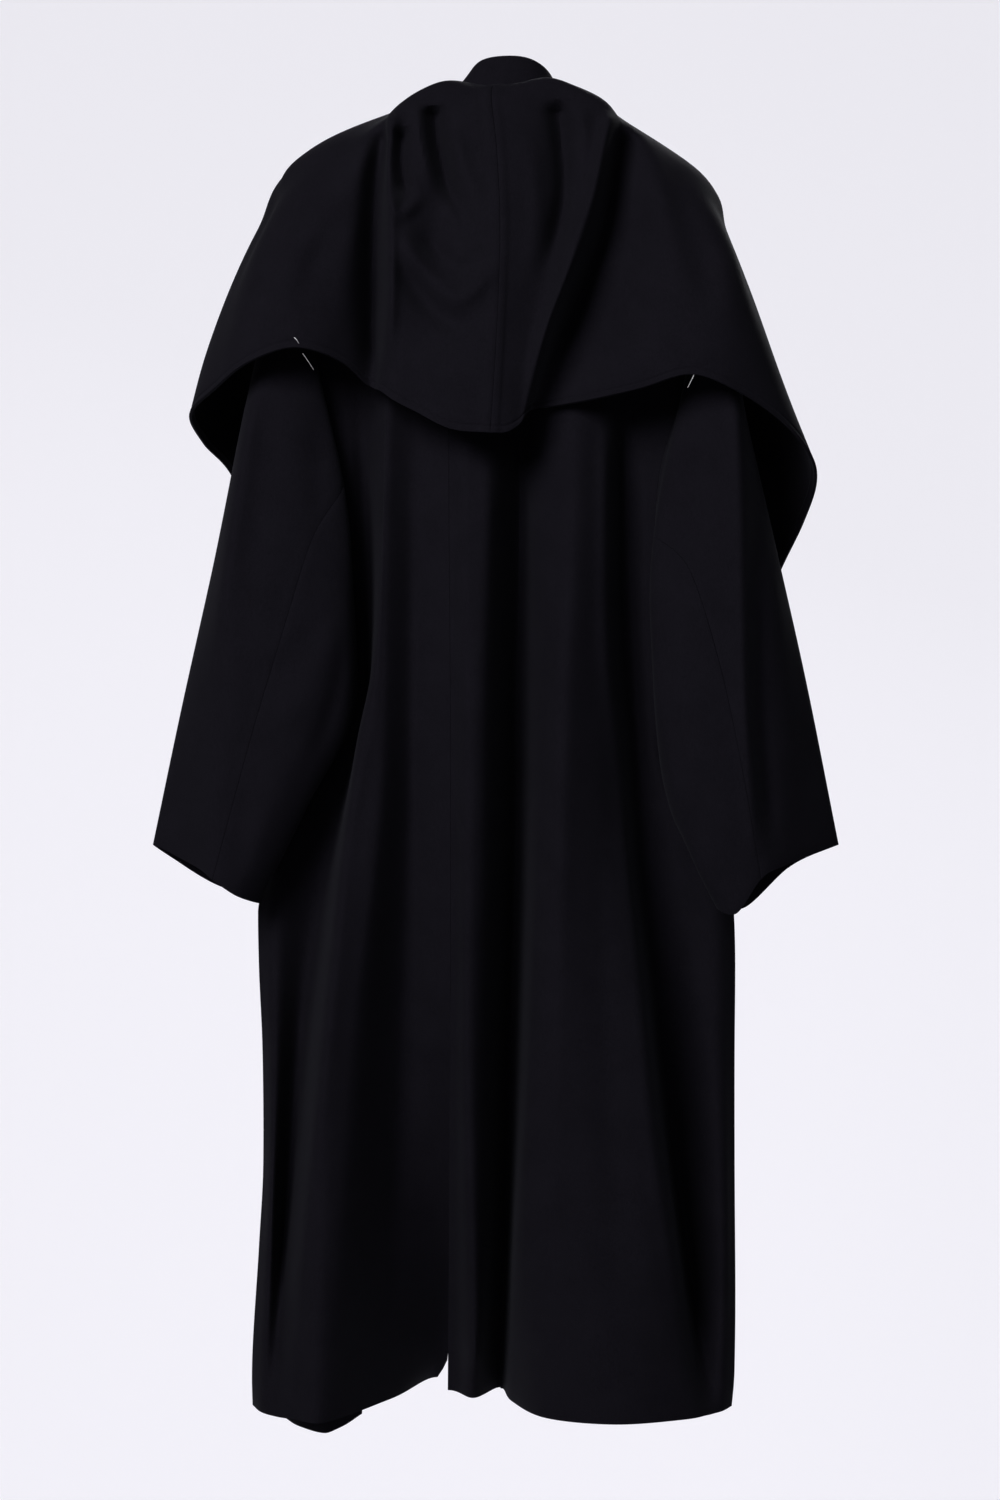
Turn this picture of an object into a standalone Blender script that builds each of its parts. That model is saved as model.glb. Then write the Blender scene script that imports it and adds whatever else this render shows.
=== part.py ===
"""Scarf coat: a long, oversized open coat in thick double-faced wool, hanging as on a hidden hanger,
with a wide scarf sewn into its neck seam that rolls over the collar and falls over both shoulders.

Tables are in millimetres, the meshes in metres. +Z is up, the coat's back faces -Y, its fronts +Y, and
+X is to the right of someone who looks at the back. The origin is at the nape, where the coat is held.
Each piece is one cut of cloth: a grid of points on its outer face, worked out from the lines of its
folds, and a wall of the cloth's thickness behind it.
"""

import math

import bpy
import numpy as np

MM = 0.001
CLOTH = 3.0            # thickness of the double-faced wool
SEAM_GAP = 0.3         # between two pieces along a seam
SCARF_GAP = 4.5        # between the collar and the scarf's edge that starts beside it
SHOULDER_ROUND = 46    # depth over which the cloth rounds over the shoulder line
ON_SHOULDER_LINE = 3   # a fold whose top is nearer than this to y = 0 starts on the shoulder line
ON_NECK = 2            # and one whose top is at least this far from it is on the neckline too
CENTRE_REST = -614     # height of the underarm's row where it meets the centre back and the fronts
TOP_FADE = (1, 0.8, 0.5, 0.2)
SMALL = 1e-9
SEAM_DIGITS = 2        # places after the point to which two pieces' points must agree to be a seam
LEAST_AGREEMENT = 0.4  # between a piece's own normal and the mean one at a seam
SIDE_LEAN = 0.05       # tells which end of a side face is the upper one where it is nearly level

# Samples between two lines of a table: across a panel, down a panel below the underarm, along a sleeve
ACROSS = 2
BELOW_ARM = 11
ALONG_SLEEVE = 9
# Places round half of an armhole, in sleeve lines from the top fold (0) to the underarm fold (4)
ROUND_ARMHOLE = (0, 0.06, 0.15, 0.3, 0.6, 1, 1.5, 2, 2.5, 3, 3.5, 4)
# Share of the armhole's height at which each of those sleeve lines starts
LINE_STARTS = (0.0, 0.28, 0.62, 0.82, 1.0)

# Armholes, from the shoulder tip to the underarm: rows of (z, x, y) down the back and down the front
LEFT_ARMHOLE = {
    "back": ((-67, -186, -1), (-130, -187, -28), (-205, -184, -34), (-291, -168, -34), (-371, -151, -34),
             (-446, -142, -33), (-500, -139, -31), (-548, -138, -24)),
    "front": ((-67, -186, -1), (-130, -188, 20), (-205, -188, 26), (-300, -181, 28), (-380, -172, 28),
              (-450, -162, 22), (-510, -148, 4), (-548, -138, -24)),
}
RIGHT_ARMHOLE = {
    "back": ((-76, 187, -1), (-140, 188, -28), (-210, 185, -34), (-290, 171, -34), (-370, 150, -34),
             (-480, 144, -34), (-577, 147, -31), (-630, 153, -24)),
    "front": ((-76, 187, -1), (-140, 189, 20), (-210, 189, 26), (-310, 183, 28), (-420, 175, 28),
              (-520, 167, 22), (-590, 158, 4), (-630, 153, -24)),
}

# Centre back seam above the vent, rows of (z, x, y)
CENTRE_SEAM = ((-150, -30, -42), (-340, -48, -68), (-624, -46, -92), (-820, -46, -88), (-846, -46, -87),
               (-850, -46, -87))

# Fold lines of the panels. Each row: name, top (x, y, z) on the neckline or the shoulder, then its
# line down the panel as (z, x, y). The side line starts at the underarm.
BACK_LEFT_FOLDS = (
    ("side", None, ((-548, -138, -24), (-600, -158, -18), (-640, -179, -15), (-720, -214, -8),
                    (-780, -232, -5), (-826, -231, -8), (-912, -227, -13), (-1018, -225, -30),
                    (-1094, -228, -44), (-1210, -233, -64), (-1238, -232, -68))),
    ("side band", (-162, -1, -57), ((-150, -163, -32), (-340, -142, -30), (-480, -131, -26),
                                    (-548, -130, -20), (-600, -147, -21), (-770, -212, -26),
                                    (-912, -212, -42), (-1080, -214, -74), (-1238, -222, -98))),
    ("side valley", (-130, -1, -45), ((-150, -134, -32), (-340, -127, -28), (-480, -122, -24),
                                      (-548, -123, -20), (-600, -133, -21), (-770, -171, -14),
                                      (-912, -190, -16), (-1080, -202, -48), (-1238, -208, -116))),
    ("left ridge edge", (-99, -1, -29), ((-150, -116, -36), (-340, -110, -60), (-480, -113, -76),
                                         (-548, -119, -82), (-624, -133, -88), (-770, -151, -102),
                                         (-912, -166, -112), (-1080, -178, -120), (-1238, -188, -130))),
    ("left ridge", (-66, -2, -15), ((-150, -98, -38), (-340, -104, -68), (-624, -110, -94),
                                    (-912, -140, -118), (-1080, -150, -128), (-1238, -158, -140))),
    ("left trough", (-36, -30, -13), ((-150, -70, -38), (-340, -80, -56), (-624, -83, -73),
                                      (-912, -96, -56), (-1080, -98, -42), (-1238, -100, -34))),
    ("centre back", (0, -38, -15), (*CENTRE_SEAM, (-876, -45, -81), (-896, -43, -77),
                                    (-952, -38, -60), (-1080, -40, -18), (-1171, -48, 16),
                                    (-1216, -51, 36), (-1236, -61, 48))),
)
BACK_RIGHT_FOLDS = (
    ("centre back", (0, -38, -15), (*CENTRE_SEAM, (-896, -46, -86), (-952, -47, -80), (-1080, -48, -54),
                                    (-1236, -50, -12))),
    ("centre ridge", (18, -36, -14), ((-150, -8, -44), (-340, -25, -78), (-624, -25, -107),
                                      (-912, -27, -104), (-1080, -26, -78), (-1238, -25, -38))),
    ("centre valley", (36, -30, -12), ((-150, 24, -34), (-340, 19, -34), (-624, 16, -33),
                                       (-912, 10, -14), (-1080, 6, -2), (-1238, 0, 10))),
    ("right ridge edge", (52, -18, -12), ((-150, 48, -38), (-340, 47, -64), (-624, 40, -90),
                                          (-912, 28, -100), (-1080, 17, -92), (-1238, 11, -52))),
    ("right ridge", (66, -2, -14), ((-150, 66, -40), (-340, 70, -78), (-624, 58, -112),
                                    (-912, 50, -126), (-1080, 44, -130), (-1238, 42, -124))),
    ("right flat", (90, -1, -24), ((-150, 88, -38), (-340, 92, -68), (-624, 90, -92),
                                   (-912, 94, -128), (-1080, 98, -140), (-1238, 105, -151))),
    ("right flat edge", (111, -1, -34), ((-150, 108, -36), (-340, 106, -52), (-624, 111, -62),
                                         (-912, 136, -112), (-1080, 156, -120), (-1238, 170, -130))),
    ("side valley", (133, -1, -49), ((-150, 132, -34), (-340, 120, -28), (-624, 130, -20),
                                     (-912, 157, -12), (-1080, 174, -26), (-1238, 194, -108))),
    ("side band", (161, -1, -63), ((-150, 160, -32), (-340, 142, -32), (-480, 136, -32),
                                   (-577, 140, -29), (-630, 146, -26), (-770, 200, -30),
                                   (-912, 203, -42), (-1080, 206, -66), (-1238, 207, -94))),
    ("side", None, ((-630, 153, -24), (-700, 192, -13), (-762, 223, -10), (-826, 225, -12),
                    (-912, 224, -17), (-1018, 223, -30), (-1133, 222, -52), (-1210, 220, -66),
                    (-1238, 217, -72))),
)
FRONT_LEFT_FOLDS = (
    ("side", None, BACK_LEFT_FOLDS[0][2]),
    ("side fold", (-162, -1, -57), ((-150, -164, 24), (-340, -160, 30), (-450, -152, 28),
                                    (-548, -137, 5), (-640, -166, 14), (-770, -214, 26),
                                    (-912, -212, 32), (-1258, -220, 2))),
    ("side trough", (-130, -1, -45), ((-150, -136, 26), (-340, -134, 32), (-548, -129, 30),
                                      (-640, -146, 36), (-770, -178, 48), (-1278, -212, 62))),
    ("front trough", (-99, -1, -29), ((-150, -108, 28), (-340, -106, 32), (-640, -126, 40),
                                      (-912, -162, 62), (-1298, -201, 112))),
    ("front ridge", (-66, -2, -15), ((-150, -80, 34), (-340, -86, 52), (-624, -106, 78),
                                     (-912, -138, 108), (-1311, -178, 142))),
    ("front fall", (-60, 24, -36), ((-150, -66, 38), (-300, -72, 48), (-624, -94, 68),
                                    (-912, -122, 92), (-1304, -158, 138))),
    ("front edge", (-48, 38, -92), ((-150, -52, 44), (-300, -60, 56), (-624, -82, 74),
                                    (-912, -106, 94), (-1288, -138, 122))),
)
FRONT_RIGHT_FOLDS = (
    ("front edge", (48, 38, -92), ((-150, 50, 44), (-300, 46, 56), (-624, 34, 78),
                                   (-912, 18, 100), (-1262, 2, 122))),
    ("front fall", (60, 24, -36), ((-150, 66, 38), (-340, 64, 48), (-624, 60, 58),
                                   (-912, 58, 74), (-1260, 58, 86))),
    ("front ridge", (66, -2, -14), ((-150, 82, 34), (-340, 86, 54), (-624, 96, 86),
                                    (-912, 110, 112), (-1266, 116, 134))),
    ("front trough", (90, -1, -24), ((-150, 98, 32), (-340, 98, 36), (-624, 112, 44),
                                     (-912, 134, 54), (-1260, 138, 76))),
    ("side ridge", (111, -1, -34), ((-150, 116, 28), (-340, 114, 34), (-640, 130, 48),
                                    (-912, 158, 70), (-1258, 164, 94))),
    ("side trough", (133, -1, -49), ((-150, 138, 26), (-340, 138, 32), (-520, 144, 34),
                                     (-630, 144, 32), (-770, 176, 42), (-912, 188, 44),
                                     (-1252, 192, 44))),
    ("side fold", (161, -1, -63), ((-150, 164, 24), (-340, 162, 30), (-520, 160, 28),
                                   (-630, 153, 8), (-770, 206, 18), (-912, 210, 20),
                                   (-1250, 208, -14))),
    ("side", None, BACK_RIGHT_FOLDS[-1][2]),
)

# Sleeve lines from the armhole to the cuff. Each row: name, then (x, y, z) where the sleeve folds over
# its armhole seam, at three sections and at the cuff. The rows go round the sleeve: down the back from
# the top fold to the underarm fold, then up the front. The back seam and the front seam part the upper
# sleeve from the under sleeve.
LEFT_SLEEVE = (
    ("top fold", (-200, -3, -100), (-228, -12, -235), (-267, -22, -420), (-301, -25, -575),
     (-330, -25, -714)),
    ("back crease", (-187, -56, -216), (-224, -78, -290), (-249, -91, -425), (-262, -92, -575),
     (-284, -71, -734)),
    ("back seam", (-148, -66, -380), (-174, -88, -425), (-199, -97, -505), (-231, -97, -612),
     (-268, -87, -745)),
    ("back under", (-138, -64, -484), (-148, -82, -530), (-168, -90, -590), (-205, -92, -668),
     (-246, -85, -760)),
    ("underarm fold", (-137, -42, -578), (-147, -58, -616), (-176, -64, -668), (-203, -62, -722),
     (-227, -60, -768)),
    ("front under", (-169, -6, -503), (-178, -30, -566), (-196, -44, -628), (-218, -46, -690),
     (-240, -46, -762)),
    ("front seam", (-186, 26, -386), (-202, 12, -450), (-222, -2, -525), (-248, -14, -625),
     (-274, -24, -750)),
    ("front crease", (-190, 34, -222), (-222, 24, -300), (-254, 12, -430), (-283, 2, -575),
     (-309, -12, -730)),
)
RIGHT_SLEEVE = (
    ("top fold", (200, -3, -108), (222, -14, -240), (260, -24, -420), (291, -19, -560),
     (323, -10, -715)),
    ("back crease", (189, -56, -232), (222, -80, -320), (236, -92, -455), (240, -95, -588),
     (264, -78, -733)),
    ("back seam", (147, -66, -425), (176, -86, -455), (203, -98, -541), (222, -101, -630),
     (243, -92, -744)),
    ("back under", (144, -64, -552), (156, -82, -596), (168, -90, -640), (190, -94, -698),
     (220, -92, -776)),
    ("underarm fold", (156, -46, -658), (163, -60, -688), (174, -68, -712), (187, -72, -741),
     (203, -74, -772)),
    ("front under", (176, 0, -572), (188, -34, -640), (200, -50, -686), (214, -56, -724),
     (230, -58, -772)),
    ("front seam", (191, 24, -406), (206, 8, -470), (226, -4, -557), (248, -16, -646),
     (272, -28, -737)),
    ("front crease", (192, 34, -234), (224, 22, -310), (256, 12, -445), (282, 2, -585),
     (304, -6, -722)),
)

# Collar, from the nape round to each front edge: height of its top above the neck seam as (x, y, z)
COLLAR_TOP = (
    ("left end", (-55, 46, -68)),
    ("left front", (-56, 28, -8)),
    ("left side", (-35, 3, 18)),
    ("left back", (-19, -16, 34)),
    ("nape", (8, -21, 38)),
    ("right back", (32, -16, 35)),
    ("right side", (50, 2, 23)),
    ("right front", (62, 28, -6)),
    ("right end", (55, 46, -68)),
)

# The scarf's ribs, from the centre seam to the front end. Each row: name, place along the neck seam
# (0 at the nape, 1 at the collar's front end, None where it hangs free), then (x, y, z) at the roll
# over the neck and at four places out to the lower edge.
LEFT_SCARF = (
    ("centre seam", 0.00, (-8, -61, -5), (-3, -88, -66), (0, -108, -144), (-3, -120, -235),
     (-9, -122, -332)),
    ("hood inner", 0.06, (-33, -61, -5), (-36, -80, -64), (-39, -98, -143), (-42, -113, -228),
     (-46, -120, -328)),
    ("hood trough", 0.12, (-57, -54, 3), (-57, -68, -60), (-59, -86, -138), (-69, -105, -215),
     (-79, -113, -311)),
    ("hood outer", 0.18, (-80, -50, -4), (-87, -76, -60), (-89, -98, -138), (-91, -108, -213),
     (-98, -109, -301)),
    ("hood edge", 0.24, (-97, -47, -15), (-104, -72, -60), (-103, -94, -138), (-103, -102, -212),
     (-112, -94, -290)),
    ("side valley", 0.30, (-103, -42, -22), (-108, -56, -60), (-115, -66, -137), (-119, -68, -210),
     (-121, -76, -284)),
    ("cape inner", 0.35, (-109, -38, -26), (-124, -66, -68), (-137, -84, -139), (-141, -92, -204),
     (-141, -98, -267)),
    ("cape crest", 0.40, (-128, -32, -35), (-150, -66, -78), (-163, -94, -138), (-168, -107, -195),
     (-169, -117, -256)),
    ("cape back", 0.44, (-162, -20, -40), (-181, -60, -84), (-195, -90, -138), (-201, -110, -194),
     (-198, -121, -254)),
    ("shoulder back", 0.48, (-187, -12, -54), (-204, -48, -98), (-222, -78, -148), (-232, -96, -207),
     (-237, -107, -267)),
    ("arm back", 0.52, (-194, -4, -61), (-219, -28, -118), (-245, -50, -180), (-258, -64, -233),
     (-268, -76, -286)),
    ("arm side", 0.56, (-196, 4, -63), (-232, 2, -122), (-259, -2, -181), (-283, -8, -248),
     (-296, -24, -304)),
    ("arm front", 0.60, (-194, 12, -63), (-228, 32, -124), (-252, 44, -188), (-273, 48, -256),
     (-289, 40, -326)),
    ("shoulder front", 0.65, (-178, 22, -58), (-210, 54, -126), (-232, 74, -198), (-248, 86, -272),
     (-264, 86, -356)),
    ("chest outer", 0.72, (-146, 34, -50), (-178, 72, -128), (-202, 94, -216), (-220, 106, -312),
     (-240, 102, -432)),
    ("chest", 0.80, (-112, 42, -44), (-142, 84, -134), (-168, 92, -248), (-194, 112, -362),
     (-222, 104, -522)),
    ("lapel", 0.90, (-86, 54, -66), (-110, 92, -176), (-140, 90, -306), (-174, 116, -432),
     (-214, 104, -612)),
    ("front neck", None, (-68, 70, -150), (-88, 98, -262), (-124, 90, -380), (-162, 120, -500),
     (-210, 104, -676)),
    ("front fall", None, (-64, 82, -330), (-84, 110, -410), (-120, 96, -500), (-156, 126, -590),
     (-207, 106, -724)),
    ("front low", None, (-70, 96, -540), (-88, 122, -586), (-120, 104, -636), (-154, 130, -690),
     (-205, 110, -758)),
    ("end", None, (-76, 106, -738), (-94, 130, -748), (-122, 112, -758), (-154, 134, -770),
     (-203, 114, -784)),
)
RIGHT_SCARF = (
    ("centre seam", 0.00, (-8, -61, -5), (-3, -88, -66), (0, -108, -144), (-3, -120, -235),
     (-9, -122, -332)),
    ("hood inner", 0.08, (18, -62, -2), (22, -84, -66), (22, -102, -144), (12, -114, -232),
     (6, -118, -331)),
    ("hood trough", 0.16, (50, -54, 6), (58, -70, -62), (50, -92, -142), (30, -108, -226),
     (16, -113, -325)),
    ("hood outer", 0.22, (78, -54, -3), (84, -76, -62), (70, -98, -142), (42, -110, -224),
     (22, -110, -318)),
    ("hood edge", 0.27, (101, -50, -13), (98, -78, -64), (82, -100, -142), (50, -106, -222),
     (27, -98, -310)),
    ("side valley", 0.32, (110, -42, -22), (108, -54, -66), (98, -62, -142), (68, -66, -214),
     (38, -74, -304)),
    ("cape inner", 0.36, (116, -38, -28), (124, -56, -76), (126, -72, -150), (112, -78, -215),
     (84, -94, -298)),
    ("cape crest", 0.40, (133, -32, -37), (148, -66, -86), (158, -88, -156), (146, -96, -214),
     (129, -104, -289)),
    ("cape back", 0.44, (158, -24, -50), (172, -64, -96), (186, -92, -158), (184, -106, -214),
     (175, -113, -277)),
    ("shoulder back", 0.48, (182, -16, -64), (198, -54, -108), (216, -82, -164), (218, -100, -222),
     (217, -107, -290)),
    ("arm back", 0.52, (194, -6, -76), (212, -36, -126), (231, -58, -186), (249, -72, -248),
     (262, -78, -314)),
    ("arm side", 0.56, (195, 2, -79), (218, -8, -132), (241, -18, -192), (265, -26, -262),
     (294, -36, -341)),
    ("arm front", 0.60, (192, 12, -80), (216, 30, -134), (240, 36, -198), (268, 34, -276),
     (305, 6, -366)),
    ("shoulder front", 0.65, (180, 24, -72), (204, 56, -134), (230, 76, -208), (258, 82, -296),
     (297, 54, -402)),
    ("chest outer", 0.72, (148, 34, -56), (178, 74, -132), (204, 96, -222), (232, 108, -328),
     (276, 96, -452)),
    ("chest", 0.80, (112, 42, -44), (142, 84, -134), (170, 92, -250), (202, 114, -368),
     (246, 108, -530)),
    ("lapel", 0.90, (86, 54, -66), (110, 92, -176), (142, 90, -308), (180, 118, -436),
     (226, 108, -616)),
    ("front neck", None, (66, 70, -150), (86, 98, -262), (122, 90, -382), (164, 122, -502),
     (216, 108, -678)),
    ("front fall", None, (58, 82, -330), (80, 110, -410), (116, 96, -500), (154, 128, -590),
     (208, 110, -724)),
    ("front low", None, (56, 98, -540), (76, 122, -586), (110, 106, -636), (148, 132, -690),
     (202, 114, -758)),
    ("end", None, (54, 110, -738), (74, 132, -748), (106, 116, -758), (144, 136, -770),
     (196, 118, -784)),
)
COLLAR_UP = 3
SCARF_ALONG = 2        # samples between two ribs
SCARF_OUT = 3          # samples between two places of a rib
FREE_EDGE = 0.2        # how far the scarf's inner edge lies beyond its first place, where it hangs free
FORWARD = (0.0, 6.0, 7.0)                      # how far the scarf stands off over the coat's fronts
SEAT_FORWARD = ((0.3, 0), (0.55, 1))            # (place, share of it)
SEAT_HEIGHT = ((0, 0.36), (0.3, 0.4), (0.55, 0.62), (1, 0.62))   # (place, share of the collar's height)

WOOL_COLOUR = (0.006, 0.006, 0.008, 1.0)
WOOL_ROUGHNESS = 0.85


def spline_weights(count, places):
    """Catmull-Rom weights of count evenly spaced points, one row for each place from 0 to count - 1."""
    weights = np.zeros((len(places), count))
    for row, place in enumerate(places):
        first = min(int(math.floor(place)), count - 2)
        t = place - first
        basis = (
            (-t + 2 * t * t - t ** 3) / 2,
            (2 - 5 * t * t + 3 * t ** 3) / 2,
            (t + 4 * t * t - 3 * t ** 3) / 2,
            (-t * t + t ** 3) / 2,
        )
        for step, share in zip((-1, 0, 1, 2), basis):
            index = first + step
            if index < 0:
                weights[row, 0] += 2 * share
                weights[row, 1] -= share
            elif index >= count:
                weights[row, -1] += 2 * share
                weights[row, -2] -= share
            else:
                weights[row, index] += share
    return weights


def monotone(knots, values, places):
    """A smooth curve through values at rising knots that never overshoots them, read at places."""
    knots, values = np.asarray(knots, float), np.asarray(values, float)
    places = np.clip(places, knots[0], knots[-1])
    step = np.diff(knots)
    rise = np.diff(values, axis=0) / step[:, None]
    slope = np.zeros_like(values)
    slope[0], slope[-1] = rise[0], rise[-1]
    for i in range(1, len(knots) - 1):
        same = rise[i - 1] * rise[i] > 0
        mean = 2 * rise[i - 1] * rise[i] / np.where(same, rise[i - 1] + rise[i], 1)
        slope[i] = np.where(same, mean, 0)
    span = np.clip(np.searchsorted(knots, places, side="right") - 1, 0, len(step) - 1)
    t = ((places - knots[span]) / step[span])[:, None]
    h = step[span][:, None]
    return ((1 + 2 * t) * (1 - t) ** 2 * values[span] + t * (1 - t) ** 2 * h * slope[span]
            + t * t * (3 - 2 * t) * values[span + 1] + t * t * (t - 1) * h * slope[span + 1])


def line_at(line, heights):
    """The points of one fold line, rows of (z, x, y) from the top down, at heights."""
    line = np.asarray(line, float)
    xy = monotone(-line[:, 0], line[:, 1:], -np.asarray(heights, float))
    return np.column_stack([xy, heights])


def rounding(depth):
    """How far the cloth has come forward of the shoulder line at a depth below it, from 0 to 1."""
    share = np.clip(depth / SHOULDER_ROUND, 0, 1)
    return np.sqrt(1 - (1 - share) ** 2)


def armhole_heights(places):
    """Share of the armhole's height at places counted in sleeve lines."""
    starts = np.array(LINE_STARTS)[:, None]
    return monotone(np.arange(len(LINE_STARTS)), starts, np.asarray(places, float))[:, 0]


def armhole_edge(armhole, face, places):
    """Points of one half of an armhole, at places counted in sleeve lines from the shoulder tip."""
    line = armhole[face]
    top, bottom = line[0][0], line[-1][0]
    heights = top + (bottom - top) * armhole_heights(places)
    points = line_at([(top, line[0][1], line[1][2]), *line[1:]], heights)
    points[:, 1] = line[0][2] + (points[:, 1] - line[0][2]) * rounding(top - heights)
    return points


def fold_line(fold, underarm, above, below):
    """One fold line of a panel, at shares of the way above and below a height beside the underarm."""
    _, (x, y, z), line = fold
    hem = line[-1][0]
    heights = np.concatenate([z + (underarm - z) * above, underarm + (hem - underarm) * below])
    full = [(z, x, line[0][2] if abs(y) < ON_SHOULDER_LINE else y), *line]
    points = line_at(full, heights)
    points[:, 1] = y + (points[:, 1] - y) * rounding(z - heights)
    return points


def panel(folds, armhole, face, side_first, ghost=None, across=ACROSS, rows=BELOW_ARM,
          places=ROUND_ARMHOLE):
    """A panel's outer face as a grid: rows down from the shoulder and neck, columns across its folds."""
    above = armhole_heights(places)
    below = (np.arange(rows) + 1) / rows
    underarm = armhole[face][-1][0]
    lines = []
    for index, fold in enumerate(folds):
        share = index / (len(folds) - 1) if side_first else 1 - index / (len(folds) - 1)
        if fold[1] is None:
            side = line_at(fold[2], underarm + (fold[2][-1][0] - underarm) * below)
            lines.append(np.vstack([armhole_edge(armhole, face, places), side]))
        else:
            height = underarm + (CENTRE_REST - underarm) * share
            lines.append(fold_line(fold, height, above, below))
    tops = np.array([line[0] for line in lines])
    if ghost is not None:
        lines.insert(len(lines) if side_first else 0, fold_line(ghost, CENTRE_REST, above, below))
    net = np.array(lines)
    first = 1 if ghost is not None and not side_first else 0
    count = len(folds)
    samples = np.arange((count - 1) * across + 1) / across
    grid = np.einsum("ac,cvk->vak", spline_weights(len(net), first + samples), net)
    if side_first:
        top = top_edge(tops, samples)
    else:
        top = top_edge(tops[::-1], samples)[::-1]
    shift = top - grid[0]
    for row, share in enumerate(TOP_FADE):
        grid[row] += shift * share
    return grid


def top_edge(tops, samples):
    """A panel's top edge from the shoulder tip: straight to the side of the neck, then curved."""
    on_shoulder = int(np.sum(np.abs(tops[:, 1]) < ON_SHOULDER_LINE)) - 1
    points = np.empty((len(samples), 3))
    for row, place in enumerate(samples):
        if place <= on_shoulder:
            points[row] = [np.interp(place, np.arange(len(tops)), tops[:, k]) for k in range(3)]
        else:
            weights = spline_weights(len(tops) - on_shoulder, [place - on_shoulder])
            points[row] = weights @ tops[on_shoulder:]
    return points


def sleeve(table, armhole, first, last, places=ROUND_ARMHOLE, along=ALONG_SLEEVE):
    """A sleeve piece's outer face: rows round the sleeve between two of its lines, columns to the cuff."""
    lines = len(table)
    half = lines // 2
    ring = sorted({p for p in places} | {lines - p for p in places} | {-p for p in places})
    ring = [place for place in ring if first <= place <= last]
    starts = [armhole_point(armhole, index, lines) for index in range(lines)]
    net = np.array([[start, *row[1:]] for start, row in zip(starts, table)], float)
    around = np.concatenate([net, net, net])
    by_line = np.einsum("ac,csk->ask", spline_weights(3 * lines, [p + lines for p in ring]), around)
    sections = net.shape[1]
    share = np.arange(along + 1) / along * (sections - 1)
    grid = np.einsum("bs,ask->abk", spline_weights(sections, share), by_line)
    fade = np.clip(1 - share, 0, 1) ** 2
    for row, place in enumerate(ring):
        grid[row] += (armhole_point(armhole, place % lines, lines) - grid[row, 0]) * fade[:, None]
    return grid


def armhole_point(armhole, place, lines):
    """The armhole's point at a place round the sleeve."""
    if place <= lines // 2:
        return armhole_edge(armhole, "back", [place])[0]
    return armhole_edge(armhole, "front", [lines - place])[0]


def neck_line(panels, across=ACROSS):
    """The neck edge of the four panels, from the left front edge round the nape to the right one."""
    parts = []
    for name, folds, turned in (
        ("front_left", FRONT_LEFT_FOLDS, True),
        ("back_left", BACK_LEFT_FOLDS, False),
        ("back_right", BACK_RIGHT_FOLDS, False),
        ("front_right", FRONT_RIGHT_FOLDS, True),
    ):
        on_neck = [i for i, fold in enumerate(folds) if fold[1] and abs(fold[1][1]) >= ON_NECK]
        part = panels[name][0, on_neck[0] * across:on_neck[-1] * across + 1]
        part = part[::-1] if turned else part
        parts.append(part if not parts else part[1:])
    return np.concatenate(parts)


def collar(base, up=COLLAR_UP):
    """The collar's outer face: rows up from the neck seam's points, columns round the neck."""
    top_net = np.array([point for _, point in COLLAR_TOP], float)
    length = np.concatenate([[0], np.cumsum(np.linalg.norm(np.diff(base, axis=0), axis=1))])
    top = spline_weights(len(top_net), length / length[-1] * (len(top_net) - 1)) @ top_net
    rise = np.arange(up + 1)[:, None, None] / up
    return base[None] * (1 - rise) + top[None] * rise


def bisector(grid, axis):
    """At each point of a grid, the mean direction of the two steps that meet there along an axis."""
    step = np.diff(grid, axis=axis)
    step /= np.maximum(np.linalg.norm(step, axis=2, keepdims=True), SMALL)
    first, last = np.take(step, [0], axis=axis), np.take(step, [-1], axis=axis)
    return np.concatenate([first, step], axis=axis) + np.concatenate([step, last], axis=axis)


def normals_of(grid):
    """Unit normals of a grid of points, on the side that its rows and columns turn to."""
    normal = np.cross(bisector(grid, 1), bisector(grid, 0))
    return normal / np.maximum(np.linalg.norm(normal, axis=2, keepdims=True), SMALL)


def grid_edges(shape):
    """The four edges of a grid, each with the line of points next to it."""
    rows, columns = shape
    return (
        ((0, slice(None)), (1, slice(None))),
        ((rows - 1, slice(None)), (rows - 2, slice(None))),
        ((slice(None), 0), (slice(None), 1)),
        ((slice(None), columns - 1), (slice(None), columns - 2)),
    )


def seam_key(point):
    return tuple(np.round(point, SEAM_DIGITS))


def seam_normals(pieces, normals):
    """For each point on an edge, the pieces that meet there and the normal each takes."""
    meeting = {}
    for name, (grid, _) in pieces.items():
        for edge, _ in grid_edges(grid.shape[:2]):
            for point, normal in zip(grid[edge], normals[name][edge]):
                meeting.setdefault(seam_key(point), {}).setdefault(name, normal)
    taken = {}
    for key, own in meeting.items():
        if len(own) < 2:
            continue
        mean = sum(own.values())
        mean = mean / max(np.linalg.norm(mean), SMALL)
        agree = min(normal @ mean for normal in own.values()) > LEAST_AGREEMENT
        taken[key] = {}
        for name in own:
            if agree:
                taken[key][name] = mean
            else:
                kin = sum(n for other, n in own.items() if other.split("_")[0] in kin_of(name))
                taken[key][name] = kin / max(np.linalg.norm(kin), SMALL)
    return taken


def kin_of(name):
    """The kinds of piece that lie on the same side of an acute seam as a piece."""
    return ("sleeve",) if name.startswith("sleeve") else ("back", "front", "collar")


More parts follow.
